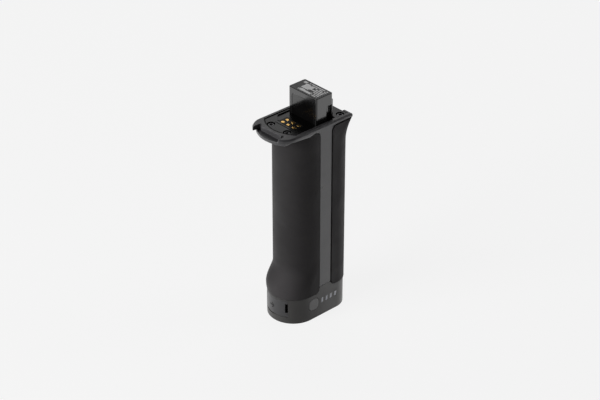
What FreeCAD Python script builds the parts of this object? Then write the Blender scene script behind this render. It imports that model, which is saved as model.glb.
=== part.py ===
# Battery grip of a hand-held camera gimbal, with the block that plugs into the gimbal on top.
# Millimetres. Z is up; the origin is on the tripod thread's axis in the plane of the base.
# The rounded front, with the charging port, faces -Y. The side with the button faces +X.
import FreeCAD, Part
import Sketcher
import math
import os
import re

os.makedirs("parts", exist_ok=True)
doc = FreeCAD.newDocument("BatteryGrip")
Vector = FreeCAD.Vector

# Driving sizes: lengths and angles, and places counted from the origin
SIZES = [
    ("grip_half", 18.2, "axis to the flat of a side band"),
    ("foot_front", 10.4, "axis to the centre of the foot's front arc"),
    ("shaft_front", 4.3, "axis to the centre of the shaft's front arc"),
    ("rear_face", 26.9, "axis to the rear face of the foot"),
    ("rear_corner", 13.0, "radius of the foot's rear corners"),
    ("foot_height", 19.3, "height of the foot"),
    ("foot_wall", 2.0, "wall of the foot"),
    ("foot_floor", 2.2, "floor of the foot"),
    ("foot_chamfer", 0.3, "chamfer round the base"),
    ("foot_seam", 0.25, "seam between the foot and what stands on it"),
    ("band_front", 2.5, "axis to the front edge of a side band"),
    ("band_rear", 7.65, "axis to the rear edge of a side band"),
    ("tongue_gap", 0.05, "clearance between the foot's raised rim and the frame"),
    ("rear_rim", 1.45, "how far the foot's wall rises behind the side bands"),
    ("core_inset", 1.2, "side band's face to the frame under the rubber"),
    ("frame_wall", 2.0, "wall of the frame"),
    ("cover_proud", 0.3, "front rubber beyond the side band"),
    ("rear_proud", 0.5, "rear rubber beyond the foot"),
    ("cover_seam", 0.4, "seam between rubber and side band"),
    ("cover_corner", 2.5, "radius of the rubber's corners beside the band"),
    ("swell_reach", 6.5, "how far the front swells out above the foot"),
    ("swell_tuck", 0.7, "how far the swell draws back at the foot"),
    ("flare_corner", 1.0, "corner radius at the top of the rear rubber"),
    ("flare_lean", 1.0, "how far the rear face leans in at its top"),
    ("rim_rise", 0.5, "how much higher the rim's lower edge is at the rear"),
    ("rim_bevel", 0.8, "how far the bevel round the rim's top comes in"),
    ("rim_bevel_height", 1.2, "height of that bevel"),
    ("rim_rear_inset", 0.7, "foot's rear face to the rear of the rim"),
    ("rim_flare", 5.2, "length over which the rim's top falls to its rear tips"),
    ("rim_drop", 0.5, "how far it falls"),
    ("tip_inner", 10.5, "axis to the inner side of a rear tip"),
    ("nose_front", 36.2, "axis to the front of the nose's outline"),
    ("nose_corner", 12.0, "radius of the nose's corners"),
    ("lip_tip", 34.6, "axis to the front of the lip below the shelf"),
    ("lip_radius", 25.0, "radius of the lip's front edge"),
    ("shelf_back", 29.5, "axis to the wall behind the shelf"),
    ("lip_half", 14.2, "half the width of the lip"),
    ("shelf_half", 12.0, "half the width of the shelf"),
    ("notch_width", 2.2, "width of the notch at each end of the shelf"),
    ("notch_length", 1.6, "how far a notch reaches in front of the wall behind the shelf"),
    ("notch_inward", 1.4, "how far a notch reaches into that wall"),
    ("notch_depth", 1.1, "depth of the notches below the shelf"),
    ("rim_wide", 2.7, "side band's face to the inner face of the rim"),
    ("plate_gap", 0.1, "clearance round the interface plate"),
    ("plate_arc", 23.0, "radius of the plate's front edge"),
    ("plate_arc_centre", 4.1, "axis to the centre of that edge"),
    ("plate_rear_inset", 2.0, "rear of the rim to the plate's rear edge"),
    ("well_depth", 0.8, "depth of the shallow well in the plate"),
    ("well_half", 14.0, "half the width of the well"),
    ("well_arc", 19.0, "radius of the well's front edge"),
    ("well_arc_centre", -1.6, "axis to the centre of that edge"),
    ("well_rear", 14.2, "axis to the rear edge of the well"),
    ("seam_slot_place", 18.7, "axis to the slot across the plate"),
    ("seam_slot_half", 8.0, "half the length of that slot"),
    ("seam_slot_width", 0.5, "width of that slot"),
    ("screw_shank", 1.0, "radius of the plate screws"),
    ("screw_head", 2.15, "radius of their heads"),
    ("screw_head_height", 1.3, "height of their heads"),
    ("screw_recess", 2.7, "radius of the recesses for the heads"),
    ("screw_recess_depth", 1.8, "depth of those recesses"),
    ("screw_length", 4.2, "length of the plate screws under the head"),
    ("screw_fit", 0.05, "clearance round a screw's shank"),
    ("screw_socket", 1.0, "radius of the socket in a screw's head"),
    ("front_screw_across", 7.8, "axis to the front plate screws, across"),
    ("front_screw_along", 22.5, "axis to the front plate screws, forward"),
    ("rear_screw_side", 2.8, "rim's inner face to the rear plate screws"),
    ("rear_screw_inset", 4.3, "plate's rear edge to the rear plate screws"),
    ("boss_radius", 2.5, "radius of the screw bosses"),
    ("boss_depth", 6.6, "height of the bosses under the plate"),
    ("head_side_gap", 2.1, "rim's inner face to the side of the head"),
    ("head_front", 2.0, "axis to the front face of the head"),
    ("head_rear", 12.55, "axis to the rear face of the head"),
    ("head_corner", 1.2, "radius of the head's upright edges"),
    ("head_edge", 0.4, "rounding of the head's top edges"),
    ("head_side_wall", 3.2, "side wall of the head"),
    ("head_wall", 1.3, "front, rear and top wall of the head"),
    ("head_gap", 0.15, "clearance round the head in the plate"),
    ("head_flange", 1.0, "flange of the head under the plate"),
    ("head_flange_height", 1.3, "thickness of that flange"),
    ("rib_width", 4.8, "width of the head's rear ribs"),
    ("rib_inset", 0.6, "side of the head to its rear ribs"),
    ("rib_proud", 0.65, "how far the ribs stand out"),
    ("notch_start", 7.0, "axis to the front of the latch slots in the head's sides"),
    ("notch_inset", 2.0, "depth of the latch slots"),
    ("notch_rear", 0.6, "rear face of the head to the latch slots"),
    ("panel_side", 3.2, "side of the head to its front panel"),
    ("panel_corner", 2.0, "radius of the front panel's corners"),
    ("panel_depth", 0.5, "depth of the front panel's recess"),
    ("panel_sunk", 0.15, "front panel below the face round it"),
    ("label_margin", 0.9, "head's edge to the label"),
    ("label_thick", 0.15, "thickness of the label"),
    ("holder_half", 8.5, "half the width of the contact holder"),
    ("holder_front", 16.5, "axis to the front of the contact holder"),
    ("holder_rear", 8.0, "axis to the rear of the contact holder"),
    ("holder_corner", 0.8, "corner radius of the contact holder"),
    ("pad_across", 5.3, "pitch of the gold pads across"),
    ("pad_along", 4.1, "pitch of the gold pads along"),
    ("pad_first", 14.3, "axis to the front row of pads"),
    ("pad_width", 3.0, "width of a pad"),
    ("pad_length", 2.4, "length of a pad"),
    ("pad_corner", 1.1, "corner radius of a pad"),
    ("pad_height", 0.7, "thickness of a pad"),
    ("pad_proud", 0.15, "pad above its holder"),
    ("pin_radius", 0.5, "radius of a pad's pin"),
    ("board_thick", 1.0, "thickness of the circuit boards"),
    ("cell_radius", 9.2, "radius of a battery cell"),
    ("cell_length", 65.0, "length of a battery cell"),
    ("cell_button", 3.0, "radius of a cell's raised end"),
    ("cell_button_height", 0.5, "height of a cell's raised end"),
    ("cell_edge", 0.6, "rounding of a cell's ends"),
    ("cell_pitch", 18.8, "pitch of the two stacks of cells"),
    ("cell_front", 5.4, "axis to the front stack of cells"),
    ("cell_fit", 0.15, "clearance round a cell in its cradle"),
    ("cradle_wall", 0.85, "wall of the cell cradles"),
    ("cradle_floor", 1.4, "floor of the lower cradle"),
    ("cradle_roof", 2.1, "roof of the upper cradle"),
    ("cradle_reach", 11.5, "how much of a cell the upper cradle holds"),
    ("cradle_flange", 2.0, "thickness of the cradles' flanges"),
    ("cradle_gap", 0.15, "clearance of the flanges in the frame"),
    ("tab_thick", 0.3, "thickness of the nickel strips"),
    ("tab_width", 7.0, "width of the nickel strips"),
    ("thread_radius", 3.175, "wall radius of the tripod thread"),
    ("thread_depth", 7.2, "depth of the tripod thread"),
    ("insert_radius", 5.2, "radius of the tripod insert"),
    ("insert_height", 8.0, "height of the tripod insert"),
    ("insert_flange", 8.5, "radius of the insert's flange"),
    ("insert_flange_height", 1.5, "thickness of that flange"),
    ("insert_fit", 0.05, "clearance round the insert"),
    ("insert_boss", 7.2, "radius of the foot's boss round the insert"),
    ("insert_boss_top", 8.8, "top of that boss, where the lower cradle rests"),
    ("post_front_inset", 2.55, "shaft's front face to the front foot screws"),
    ("post_front_angle", 43.7, "angle from the front to the front foot screws"),
    ("post_side_inset", 6.0, "side band's face to the rear foot screws"),
    ("post_rear_inset", 8.3, "foot's rear face to the rear foot screws"),
    ("foot_screw_sunk", 4.0, "how far the foot screws' heads are sunk"),
    ("foot_screw_room", 0.25, "clearance round the foot screws' heads"),
    ("foot_screw_bite", 6.0, "how far the foot screws reach into the frame"),
    ("frame_boss_height", 7.0, "height of the frame's bosses over the foot"),
    ("door_reach", 36.0, "angle from the front to the port cover's free edge"),
    ("door_hinge", 33.0, "angle from the front to the port cover's pin"),
    ("door_low", 5.6, "lower edge of the port cover's opening"),
    ("door_sill", 1.1, "sloping sill below the port cover"),
    ("door_gap", 0.15, "clearance above and below the port cover"),
    ("door_wall", 1.2, "thickness of the port cover"),
    ("door_seat", 0.1, "clearance behind the port cover"),
    ("door_side_gap", 0.4, "angle left free at the port cover's free edge"),
    ("knuckle_radius", 1.1, "radius of the port cover's knuckle"),
    ("knuckle_room", 0.65, "room left round the knuckle"),
    ("hinge_pin", 0.5, "radius of the hinge pin"),
    ("hinge_fit", 0.05, "clearance of the knuckle on the pin"),
    ("hinge_bite", 0.9, "how far the pin reaches into the foot"),
    ("finger_angle", 6.2, "angle of the finger notch"),
    ("finger_room", 12.0, "angle of the room behind the finger notch"),
    ("finger_low", 8.8, "lower end of the finger notch"),
    ("finger_high", 16.0, "upper end of the finger notch"),
    ("finger_depth", 2.7, "depth of the room behind the finger notch"),
    ("finger_side", 11.0, "axis to the far side of that room's wall"),
    ("port_half", 7.2, "half the width of the port's recess"),
    ("port_back", 22.0, "axis to the back of the port's recess"),
    ("port_low", 5.6, "floor of the port's recess"),
    ("port_high", 13.5, "roof of the port's recess"),
    ("port_wall", 1.4, "walls round the port's recess"),
    ("socket_half", 4.47, "half the width of the charging socket"),
    ("socket_height", 3.26, "height of the charging socket"),
    ("socket_length", 6.2, "length of the charging socket"),
    ("socket_wall", 0.3, "wall of the charging socket"),
    ("socket_middle", 9.55, "level of the socket's middle"),
    ("socket_fit", 0.1, "clearance round the socket in the wall"),
    ("socket_tongue_half", 3.3, "half the width of the socket's tongue"),
    ("socket_tongue_thick", 0.7, "thickness of the socket's tongue"),
    ("socket_tongue_short", 1.0, "socket's mouth to its tongue"),
    ("charge_board_half", 7.9, "half the width of the charging board"),
    ("charge_board_rear", 8.2, "axis to the rear edge of the charging board"),
    ("peg_radius", 1.4, "radius of the pegs under the charging board"),
    ("peg_across", 6.0, "axis to those pegs, across"),
    ("peg_along", 10.4, "axis to those pegs, forward"),
    ("button_front", 11.8, "axis to the front edge of the button"),
    ("button_rear", 3.5, "axis to the rear edge of the button"),
    ("button_low", 7.4, "lower edge of the button"),
    ("button_high", 16.2, "upper edge of the button"),
    ("button_corner", 3.2, "corner radius of the button"),
    ("button_gap", 0.25, "clearance round the button"),
    ("button_travel", 0.5, "travel of the button"),
    ("button_flange", 0.8, "flange that keeps the button in"),
    ("button_flange_gap", 0.25, "foot's wall to that flange"),
    ("button_flange_height", 0.8, "thickness of that flange"),
    ("button_stem", 1.5, "radius of the button's stem"),
    ("switch_width", 6.0, "width of the switch"),
    ("switch_height", 1.6, "height of the switch"),
    ("plunger_radius", 1.2, "radius of the switch's plunger"),
    ("plunger_height", 0.5, "height of the switch's plunger"),
    ("side_board_sunk", 7.0, "side band's face to the inner face of the button's board"),
    ("side_board_front", 12.6, "axis to the front edge of that board"),
    ("side_board_rear", 15.4, "axis to the rear edge of that board"),
    ("side_board_low", 2.9, "lower edge of that board"),
    ("light_first", 0.15, "axis to the first charge light"),
    ("light_pitch", 4.05, "pitch of the charge lights"),
    ("light_width", 1.7, "width of a charge light"),
    ("light_lean", 0.4, "how far a charge light leans back"),
    ("light_low", 10.5, "lower end of a charge light"),
    ("light_high", 14.0, "upper end of a charge light"),
    ("light_gap", 0.06, "clearance round a charge light"),
    ("light_count", 4, "number of charge lights"),
    ("guide_gap", 1.4, "foot's wall to the light guide's bar"),
    ("guide_bar", 1.5, "thickness of the light guide's bar"),
    ("guide_margin", 1.0, "light guide's bar beyond the lights"),
    ("chip_width", 1.6, "width of a light-emitting chip"),
    ("chip_height", 0.8, "height of a light-emitting chip"),
    ("chip_thick", 0.7, "thickness of a light-emitting chip"),
    ("power_board_half", 9.4, "half the width of the battery board"),
    ("power_board_place", 5.0, "axis to the battery board"),
    ("contact_board_half", 8.0, "half the width of the contact board"),
    ("contact_board_front", 16.6, "axis to the front of the contact board"),
    ("contact_board_rear", 7.4, "axis to the rear of the contact board"),
]

# Levels counted up from the top of the foot
FOOT_LEVELS = [
    ("tongue_top", 5.0, "top of the foot's tongues, under the side bands"),
    ("swell_peak", 5.2, "level of the swell's furthest point"),
    ("swell_top", 20.7, "level where the swell starts"),
    ("cradle_flange_low", 7.3, "level of the lower cradle's flange"),
    ("door_high", -1.1, "upper edge of the port cover's opening"),
    ("side_board_high", -1.7, "upper edge of the button's board"),
]

# Levels counted up from the roof of the upper cell cradle
TOP_LEVELS = [
    ("flare_low", -15.2, "level where the rear corners start to square"),
    ("flare_top", 4.1, "level where the rear corners are square"),
    ("gusset_low", -2.4, "underside of the gusset below the nose"),
    ("collar_low", 0.2, "where the nose's underside meets the shaft, and the lip's underside"),
    ("plate_low", 2.2, "underside of the interface plate"),
    ("shelf_top", 2.2, "top of the nose's shelf"),
    ("rim_low", 2.9, "lower edge of the rim beside the front rubber"),
    ("rear_wall_top", 3.4, "top of the rear wall between the tips"),
    ("holder_top", 4.5, "top of the contact holder"),
    ("plate_top", 5.2, "top of the interface plate"),
    ("rim_top", 5.7, "top of the rim"),
    ("notch_high", 15.5, "top of the latch slots in the head's sides"),
    ("rib_top", 18.8, "top of the head's rear ribs"),
    ("panel_top", 19.8, "top of the head's front panel"),
    ("power_board_top", 19.8, "top of the battery board"),
    ("head_top", 23.85, "top of the head"),
]
ROOF = "(insert_boss_top + cradle_floor + 3 * tab_thick + 2 * cell_length + cradle_roof)"

sheet = doc.addObject("Spreadsheet::Sheet", "Sizes")
for row, (alias, value, note) in enumerate(SIZES + FOOT_LEVELS + TOP_LEVELS, start=1):
    sheet.set(f"A{row}", note)
    sheet.set(f"B{row}", str(value))
    sheet.setAlias(f"B{row}", alias)
doc.recompute()


def one_of(sizes):
    """A pattern that finds each of these sizes where an expression names it."""
    return re.compile(r"\b(" + "|".join(alias for alias, value, note in sizes) + r")\b")


ANY_SIZE = one_of(SIZES + FOOT_LEVELS + TOP_LEVELS)
FOOT_LEVEL = one_of(FOOT_LEVELS)
TOP_LEVEL = one_of(TOP_LEVELS)
nodes = []


def from_origin(words):
    """Turns each level that an expression names into its height above the base."""
    return TOP_LEVEL.sub(rf"({ROOF} + \1)", FOOT_LEVEL.sub(r"(foot_height + \1)", words))


def bound(words):
    """The expression for an object's property, in the sheet's own words."""
    return ANY_SIZE.sub(r"Sizes.\1", from_origin(words))


def size(words):
    """The number that an expression in the sheet's words comes to."""
    return float(sheet.evalExpression(from_origin(words)))


def node(thing, label):
    """Names a finished piece and puts it on the list of pieces to write."""
    thing.Label = label
    nodes.append(thing)
    return thing


# Places that follow from other sizes
RIM_INNER = "(grip_half - rim_wide)"
RIM_REAR = "(rear_face - rim_rear_inset)"
PLATE_REAR = f"({RIM_REAR} - plate_rear_inset)"
HEAD_HALF = f"({RIM_INNER} - head_side_gap)"
PANEL_HALF = f"({HEAD_HALF} - panel_side)"
REAR_SCREW = (f"({RIM_INNER} - rear_screw_side)", f"({PLATE_REAR} - rear_screw_inset)")
FRONT_POST = (
    "((grip_half - post_front_inset) * sin(post_front_angle * 1 deg))",
    "(shaft_front + (grip_half - post_front_inset) * cos(post_front_angle * 1 deg))",
)
REAR_POST = ("(grip_half - post_side_inset)", "(rear_face - post_rear_inset)")

# Sketch outlines, each side and radius bound to the sheet


def rectangle(left, right, low, high, radius="0"):
    """A rectangle between two places across and two along, with round corners if asked."""

    def draw(sketch):
        a, b, c, d, r = (size(words) for words in (left, right, low, high, radius))
        lines = [
            ((a + r, c), (b - r, c)),
            ((b, c + r), (b, d - r)),
            ((b - r, d), (a + r, d)),
            ((a, d - r), (a, c + r)),
        ]
        for start, stop in lines:
            sketch.addGeometry(Part.LineSegment(Vector(*start, 0), Vector(*stop, 0)))
        for line, kind in enumerate(("Horizontal", "Vertical", "Horizontal", "Vertical")):
            sketch.addConstraint(Sketcher.Constraint(kind, line))
        if r > 0:
            centres = [(b - r, c + r), (b - r, d - r), (a + r, d - r), (a + r, c + r)]
            for turn, (x, y) in enumerate(centres):
                circle_line = Part.Circle(Vector(x, y, 0), Vector(0, 0, 1), r)
                start = math.radians(-90 + 90 * turn)
                sketch.addGeometry(Part.ArcOfCircle(circle_line, start, start + math.pi / 2))
                sketch.addConstraint(Sketcher.Constraint("Tangent", turn, 2, 4 + turn, 1))
                sketch.addConstraint(Sketcher.Constraint("Tangent", 4 + turn, 2, (turn + 1) % 4, 1))
            for arc in (5, 6, 7):
                sketch.addConstraint(Sketcher.Constraint("Equal", 4, arc))
            tie(sketch, Sketcher.Constraint("Radius", 4, r), radius)
        else:
            for line in range(4):
                sketch.addConstraint(Sketcher.Constraint("Coincident", line, 2, (line + 1) % 4, 1))
        tie(sketch, Sketcher.Constraint("DistanceX", -1, 1, 3, 1, a), left)
        tie(sketch, Sketcher.Constraint("DistanceX", -1, 1, 1, 1, b), right)
        tie(sketch, Sketcher.Constraint("DistanceY", -1, 1, 0, 1, c), low)
        tie(sketch, Sketcher.Constraint("DistanceY", -1, 1, 2, 1, d), high)

    return draw


def circle(across, along, radius):
    """A circle at a place across and along."""

    def draw(sketch):
        x, y, r = size(across), size(along), size(radius)
        sketch.addGeometry(Part.Circle(Vector(x, y, 0), Vector(0, 0, 1), r))
        tie(sketch, Sketcher.Constraint("DistanceX", -1, 1, 0, 3, x), across)
        tie(sketch, Sketcher.Constraint("DistanceY", -1, 1, 0, 3, y), along)
        tie(sketch, Sketcher.Constraint("Radius", 0, r), radius)

    return draw


def polygon(corners):
    """Straight lines through a list of (across, along) corners."""

    def draw(sketch):
        points = [Vector(size(x), size(y), 0) for x, y in corners]
        for start, stop in zip(points, points[1:] + points[:1]):
            sketch.addGeometry(Part.LineSegment(start, stop))
        for line, (x, y) in enumerate(corners):
            sketch.addConstraint(Sketcher.Constraint("Coincident", line, 2, (line + 1) % len(corners), 1))
            tie(sketch, Sketcher.Constraint("DistanceX", -1, 1, line, 1, points[line].x), x)
            tie(sketch, Sketcher.Constraint("DistanceY", -1, 1, line, 1, points[line].y), y)

    return draw


def grip_outline(half, front, rear, corner):
    """The grip seen from above: half circle in front, straight sides, two round rear corners."""

    def draw(sketch):
        w, f, b, r = size(half), size(front), size(rear), size(corner)
        bow = Part.Circle(Vector(0, -f, 0), Vector(0, 0, 1), w)
        sketch.addGeometry(Part.ArcOfCircle(bow, math.pi, 2 * math.pi))
        sketch.addGeometry(Part.LineSegment(Vector(w, -f, 0), Vector(w, b - r, 0)))
        bend = Part.Circle(Vector(w - r, b - r, 0), Vector(0, 0, 1), r)
        sketch.addGeometry(Part.ArcOfCircle(bend, 0, math.pi / 2))
        sketch.addGeometry(Part.LineSegment(Vector(w - r, b, 0), Vector(r - w, b, 0)))
        bend = Part.Circle(Vector(r - w, b - r, 0), Vector(0, 0, 1), r)
        sketch.addGeometry(Part.ArcOfCircle(bend, math.pi / 2, math.pi))
        sketch.addGeometry(Part.LineSegment(Vector(-w, b - r, 0), Vector(-w, -f, 0)))
        for edge in range(6):
            sketch.addConstraint(Sketcher.Constraint("Tangent", edge, 2, (edge + 1) % 6, 1))
        for line, kind in ((1, "Vertical"), (3, "Horizontal"), (5, "Vertical")):
            sketch.addConstraint(Sketcher.Constraint(kind, line))
        sketch.addConstraint(Sketcher.Constraint("Equal", 2, 4))
        sketch.addConstraint(Sketcher.Constraint("PointOnObject", 0, 3, -2))
        tie(sketch, Sketcher.Constraint("DistanceY", -1, 1, 0, 3, -f), f"-({front})")
        tie(sketch, Sketcher.Constraint("Radius", 0, w), half)
        tie(sketch, Sketcher.Constraint("Radius", 2, r), corner)
        tie(sketch, Sketcher.Constraint("DistanceY", -1, 1, 3, 1, b), rear)

    return draw


def bowed_outline(half, arc, centre, rear):
    """Straight sides and rear, and a front bowed to a radius about a centre on the axis."""

    def draw(sketch):
        w, r, c, b = size(half), size(arc), size(centre), size(rear)
        bow = Part.Circle(Vector(0, -c, 0), Vector(0, 0, 1), r)
        swing = math.acos(w / r)
        corner = -c - r * math.sin(swing)
        sketch.addGeometry(Part.ArcOfCircle(bow, math.pi + swing, 2 * math.pi - swing))
        sketch.addGeometry(Part.LineSegment(Vector(w, corner, 0), Vector(w, b, 0)))
        sketch.addGeometry(Part.LineSegment(Vector(w, b, 0), Vector(-w, b, 0)))
        sketch.addGeometry(Part.LineSegment(Vector(-w, b, 0), Vector(-w, corner, 0)))
        for edge in range(4):
            sketch.addConstraint(Sketcher.Constraint("Coincident", edge, 2, (edge + 1) % 4, 1))
        for line, kind in ((1, "Vertical"), (2, "Horizontal"), (3, "Vertical")):
            sketch.addConstraint(Sketcher.Constraint(kind, line))
        sketch.addConstraint(Sketcher.Constraint("PointOnObject", 0, 3, -2))
        tie(sketch, Sketcher.Constraint("Radius", 0, r), arc)
        tie(sketch, Sketcher.Constraint("DistanceY", -1, 1, 0, 3, -c), f"-({centre})")
        tie(sketch, Sketcher.Constraint("DistanceX", -1, 1, 1, 1, w), half)
        tie(sketch, Sketcher.Constraint("DistanceX", -1, 1, 3, 1, -w), f"-({half})")
        tie(sketch, Sketcher.Constraint("DistanceY", -1, 1, 2, 1, b), rear)

    return draw


def tie(sketch, constraint, words):
    """Adds a constraint and binds its size to the sheet."""
    index = sketch.addConstraint(constraint)
    sketch.setExpression(f"Constraints[{index}]", bound(words))


# Features of a body, each between two levels along its plane's normal


def level_sketch(body, outline, level, role):
    sketch = body.newObject("Sketcher::SketchObject", body.Name + "_sketch")
    plane = next(item for item in body.Origin.OriginFeatures if item.Role == role)
    sketch.AttachmentSupport = (plane, [""])
    sketch.MapMode = "FlatFace"
    sketch.setExpression("AttachmentOffset.Base.z", bound(level))
    outline(sketch)
    sketch.Visibility = False
    return sketch


def add(body, outline, low, high, role="XY_Plane"):
    """A pad that fills the outline from the low level to the high one."""
    pad = body.newObject("PartDesign::Pad", body.Name + "_pad")
    pad.Profile = level_sketch(body, outline, low, role)
    pad.setExpression("Length", bound(f"({high}) - ({low})"))
    return pad


def remove(body, outline, low, high, role="XY_Plane"):
    """A pocket that clears the outline from the high level down to the low one."""
    pocket = body.newObject("PartDesign::Pocket", body.Name + "_pocket")
    pocket.Profile = level_sketch(body, outline, high, role)
    pocket.setExpression("Length", bound(f"({high}) - ({low})"))
    return pocket


def new_body(name):
    return doc.addObject("PartDesign::Body", name)


def soften(body, kind, amount, chosen):
    """Rounds or chamfers the edges of the last feature whose every vertex is chosen."""
    doc.recompute()
    base = body.Tip
    picked = []
    for index, edge in enumerate(base.Shape.Edges, start=1):
        if all(chosen(vertex.Point) for vertex in edge.Vertexes):
            picked.append(f"Edge{index}")
    feature = body.newObject(kind, body.Name + "_edge")
    feature.Base = (base, picked)
    rule = "Size" if kind.endswith("Chamfer") else "Radius"
    feature.setExpression(rule, bound(amount))
    return feature


# Plain solids and booleans


def block(name, x_low, x_high, y_low, y_high, z_low, z_high):
    box = doc.addObject("Part::Box", name)
    box.setExpression("Length", bound(f"({x_high}) - ({x_low})"))
    box.setExpression("Width", bound(f"({y_high}) - ({y_low})"))
    box.setExpression("Height", bound(f"({z_high}) - ({z_low})"))
    return place(box, x_low, y_low, z_low)


def rod(name, radius, x, y, low, high):
    cylinder = doc.addObject("Part::Cylinder", name)
    cylinder.setExpression("Radius", bound(radius))
    cylinder.setExpression("Height", bound(f"({high}) - ({low})"))
    return place(cylinder, x, y, low)


def place(thing, x, y, z):
    for axis, words in zip("xyz", (x, y, z)):
        thing.setExpression(f"Placement.Base.{axis}", bound(words))
    return thing


def fuse(name, *pieces):
    joined = doc.addObject("Part::MultiFuse", name)
    joined.Shapes = list(pieces)
    return joined


def cut(name, base, *tools):
    result = doc.addObject("Part::Cut", name)
    result.Base = base
    result.Tool = tools[0] if len(tools) == 1 else fuse(name + "_tools", *tools)
    return result


def feature(name, shape):
    """A piece whose form is worked out by a function of its own."""
    thing = doc.addObject("Part::Feature", name)
    thing.Shape = shape
    thing.Placement = FreeCAD.Placement()
    return thing


def copies(name, source, places):
    """Like pieces as one group: the source's solid at each place."""
    doc.recompute()
    solids = []
    for x, y, z in places:
        solid = source.Shape.copy()
        solid.translate(Vector(x, y, z))
        solids.append(solid)
    return feature(name, Part.makeCompound(solids))


# Wires and solids for the lofted shell pieces


def plan_wire(half, front, rear, corner, level):
    """The grip's outline at one level, as the sketch outline above draws it."""

    def at(x, y):
        return Vector(x, y, level)

    bend = corner * (1 - math.sqrt(0.5))
    straight = rear - corner
    return Part.Wire(
        [
            Part.Arc(at(half, -front), at(0, -front - half), at(-half, -front)).toShape(),
            Part.LineSegment(at(-half, -front), at(-half, straight)).toShape(),
            Part.Arc(at(-half, straight), at(bend - half, rear - bend), at(corner - half, rear)).toShape(),
            Part.LineSegment(at(corner - half, rear), at(half - corner, rear)).toShape(),
            Part.Arc(at(half - corner, rear), at(half - bend, rear - bend), at(half, straight)).toShape(),
            Part.LineSegment(at(half, straight), at(half, -front)).toShape(),
        ]
    )


def rounded_wire(corners):
    """A closed outline through (point, radius) corners, with a tangent arc where there is a radius."""
    bends = []
    for index, (corner, radius) in enumerate(corners):
        if radius == 0:
            bends.append((corner, None, corner))
            continue
        back = (corners[index - 1][0] - corner).normalize()
        ahead = (corners[(index + 1) % len(corners)][0] - corner).normalize()
        half_angle = back.getAngle(ahead) / 2
        reach = radius / math.tan(half_angle)
        middle = (back + ahead).normalize() * (radius / math.sin(half_angle) - radius)
        bends.append((corner + back * reach, corner + middle, corner + ahead * reach))
    edges = []
    for index, (start, middle, stop) in enumerate(bends):
        if middle is not None:
            edges.append(Part.Arc(start, middle, stop).toShape())
        following = bends[(index + 1) % len(bends)][0]
        if stop.distanceToPoint(following) > 1e-6:
            edges.append(Part.LineSegment(stop, following).toShape())
    return Part.Wire(edges)


def prism(wire, height):
    return Part.Face(wire).extrude(Vector(0, 0, height))


def side_prism(corners):
    """A side view in (y, z, radius) corners, carried right across the grip."""
    reach = 2 * size("grip_half")
    wire = rounded_wire([(Vector(-reach, y, z), radius) for y, z, radius in corners])
    return Part.Face(wire).extrude(Vector(2 * reach, 0, 0))


def swell(level):
    """How far forward of the plain shaft the front arc lies at a level above the foot."""
    peak, top, base = size("swell_peak"), size("swell_top"), size("foot_height")
    if level >= peak:
        share = (1 + math.cos(math.pi * min(1, (level - peak) / (top - peak)))) / 2
        return size("swell_reach") * share
    return size("swell_reach") - size("swell_tuck") * ((peak - level) / (peak - base)) ** 2


def shaft_solid(inset, lean=0.0):
    """The shaft at an inset from the side bands' faces: swell, straight length and square rear."""
    half = size("grip_half") - inset
    rear = size("rear_face") - inset
    corner = size("rear_corner") - inset
    low, peak, top = size("foot_height"), size("swell_peak"), size("swell_top")
    levels = [low + (peak - low) * share / 3 for share in range(3)]
    levels += [peak + (top - peak) * share / 6 for share in range(7)]
    wires = [plan_wire(half, size("shaft_front") + swell(z), rear, corner, z) for z in levels]
    flare_low, flare_top = size("flare_low"), size("flare_top")
    flare = []
    for step in range(5):
        share = (step / 4) ** 2
        bend = corner + (size("flare_corner") - corner) * share
        level = flare_low + (flare_top - flare_low) * step / 4
        flare.append(plan_wire(half, size("shaft_front"), rear - lean * share, bend, level))
    straight = prism(wires[-1], flare_low - top)
    return Part.makeLoft(wires, True).multiFuse([straight, Part.makeLoft(flare, True)])


def rim_wire(inset, level):
    """The rim and nose seen from above: straight sides and rear, and two round front corners."""
    half = size("grip_half") - inset
    rear = size(RIM_REAR)
    front = size("nose_front") - inset
    corner = size("nose_corner") - inset
    bend = corner * (1 - math.sqrt(0.5))

    def at(x, y):
        return Vector(x, y, level)

    return Part.Wire(
        [
            Part.LineSegment(at(half - corner, -front), at(corner - half, -front)).toShape(),
            Part.Arc(
                at(corner - half, -front), at(bend - half, bend - front), at(-half, corner - front)
            ).toShape(),
            Part.LineSegment(at(-half, corner - front), at(-half, rear)).toShape(),
            Part.LineSegment(at(-half, rear), at(half, rear)).toShape(),
            Part.LineSegment(at(half, rear), at(half, corner - front)).toShape(),
            Part.Arc(
                at(half, corner - front), at(half - bend, bend - front), at(half - corner, -front)
            ).toShape(),
        ]
    )


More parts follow.
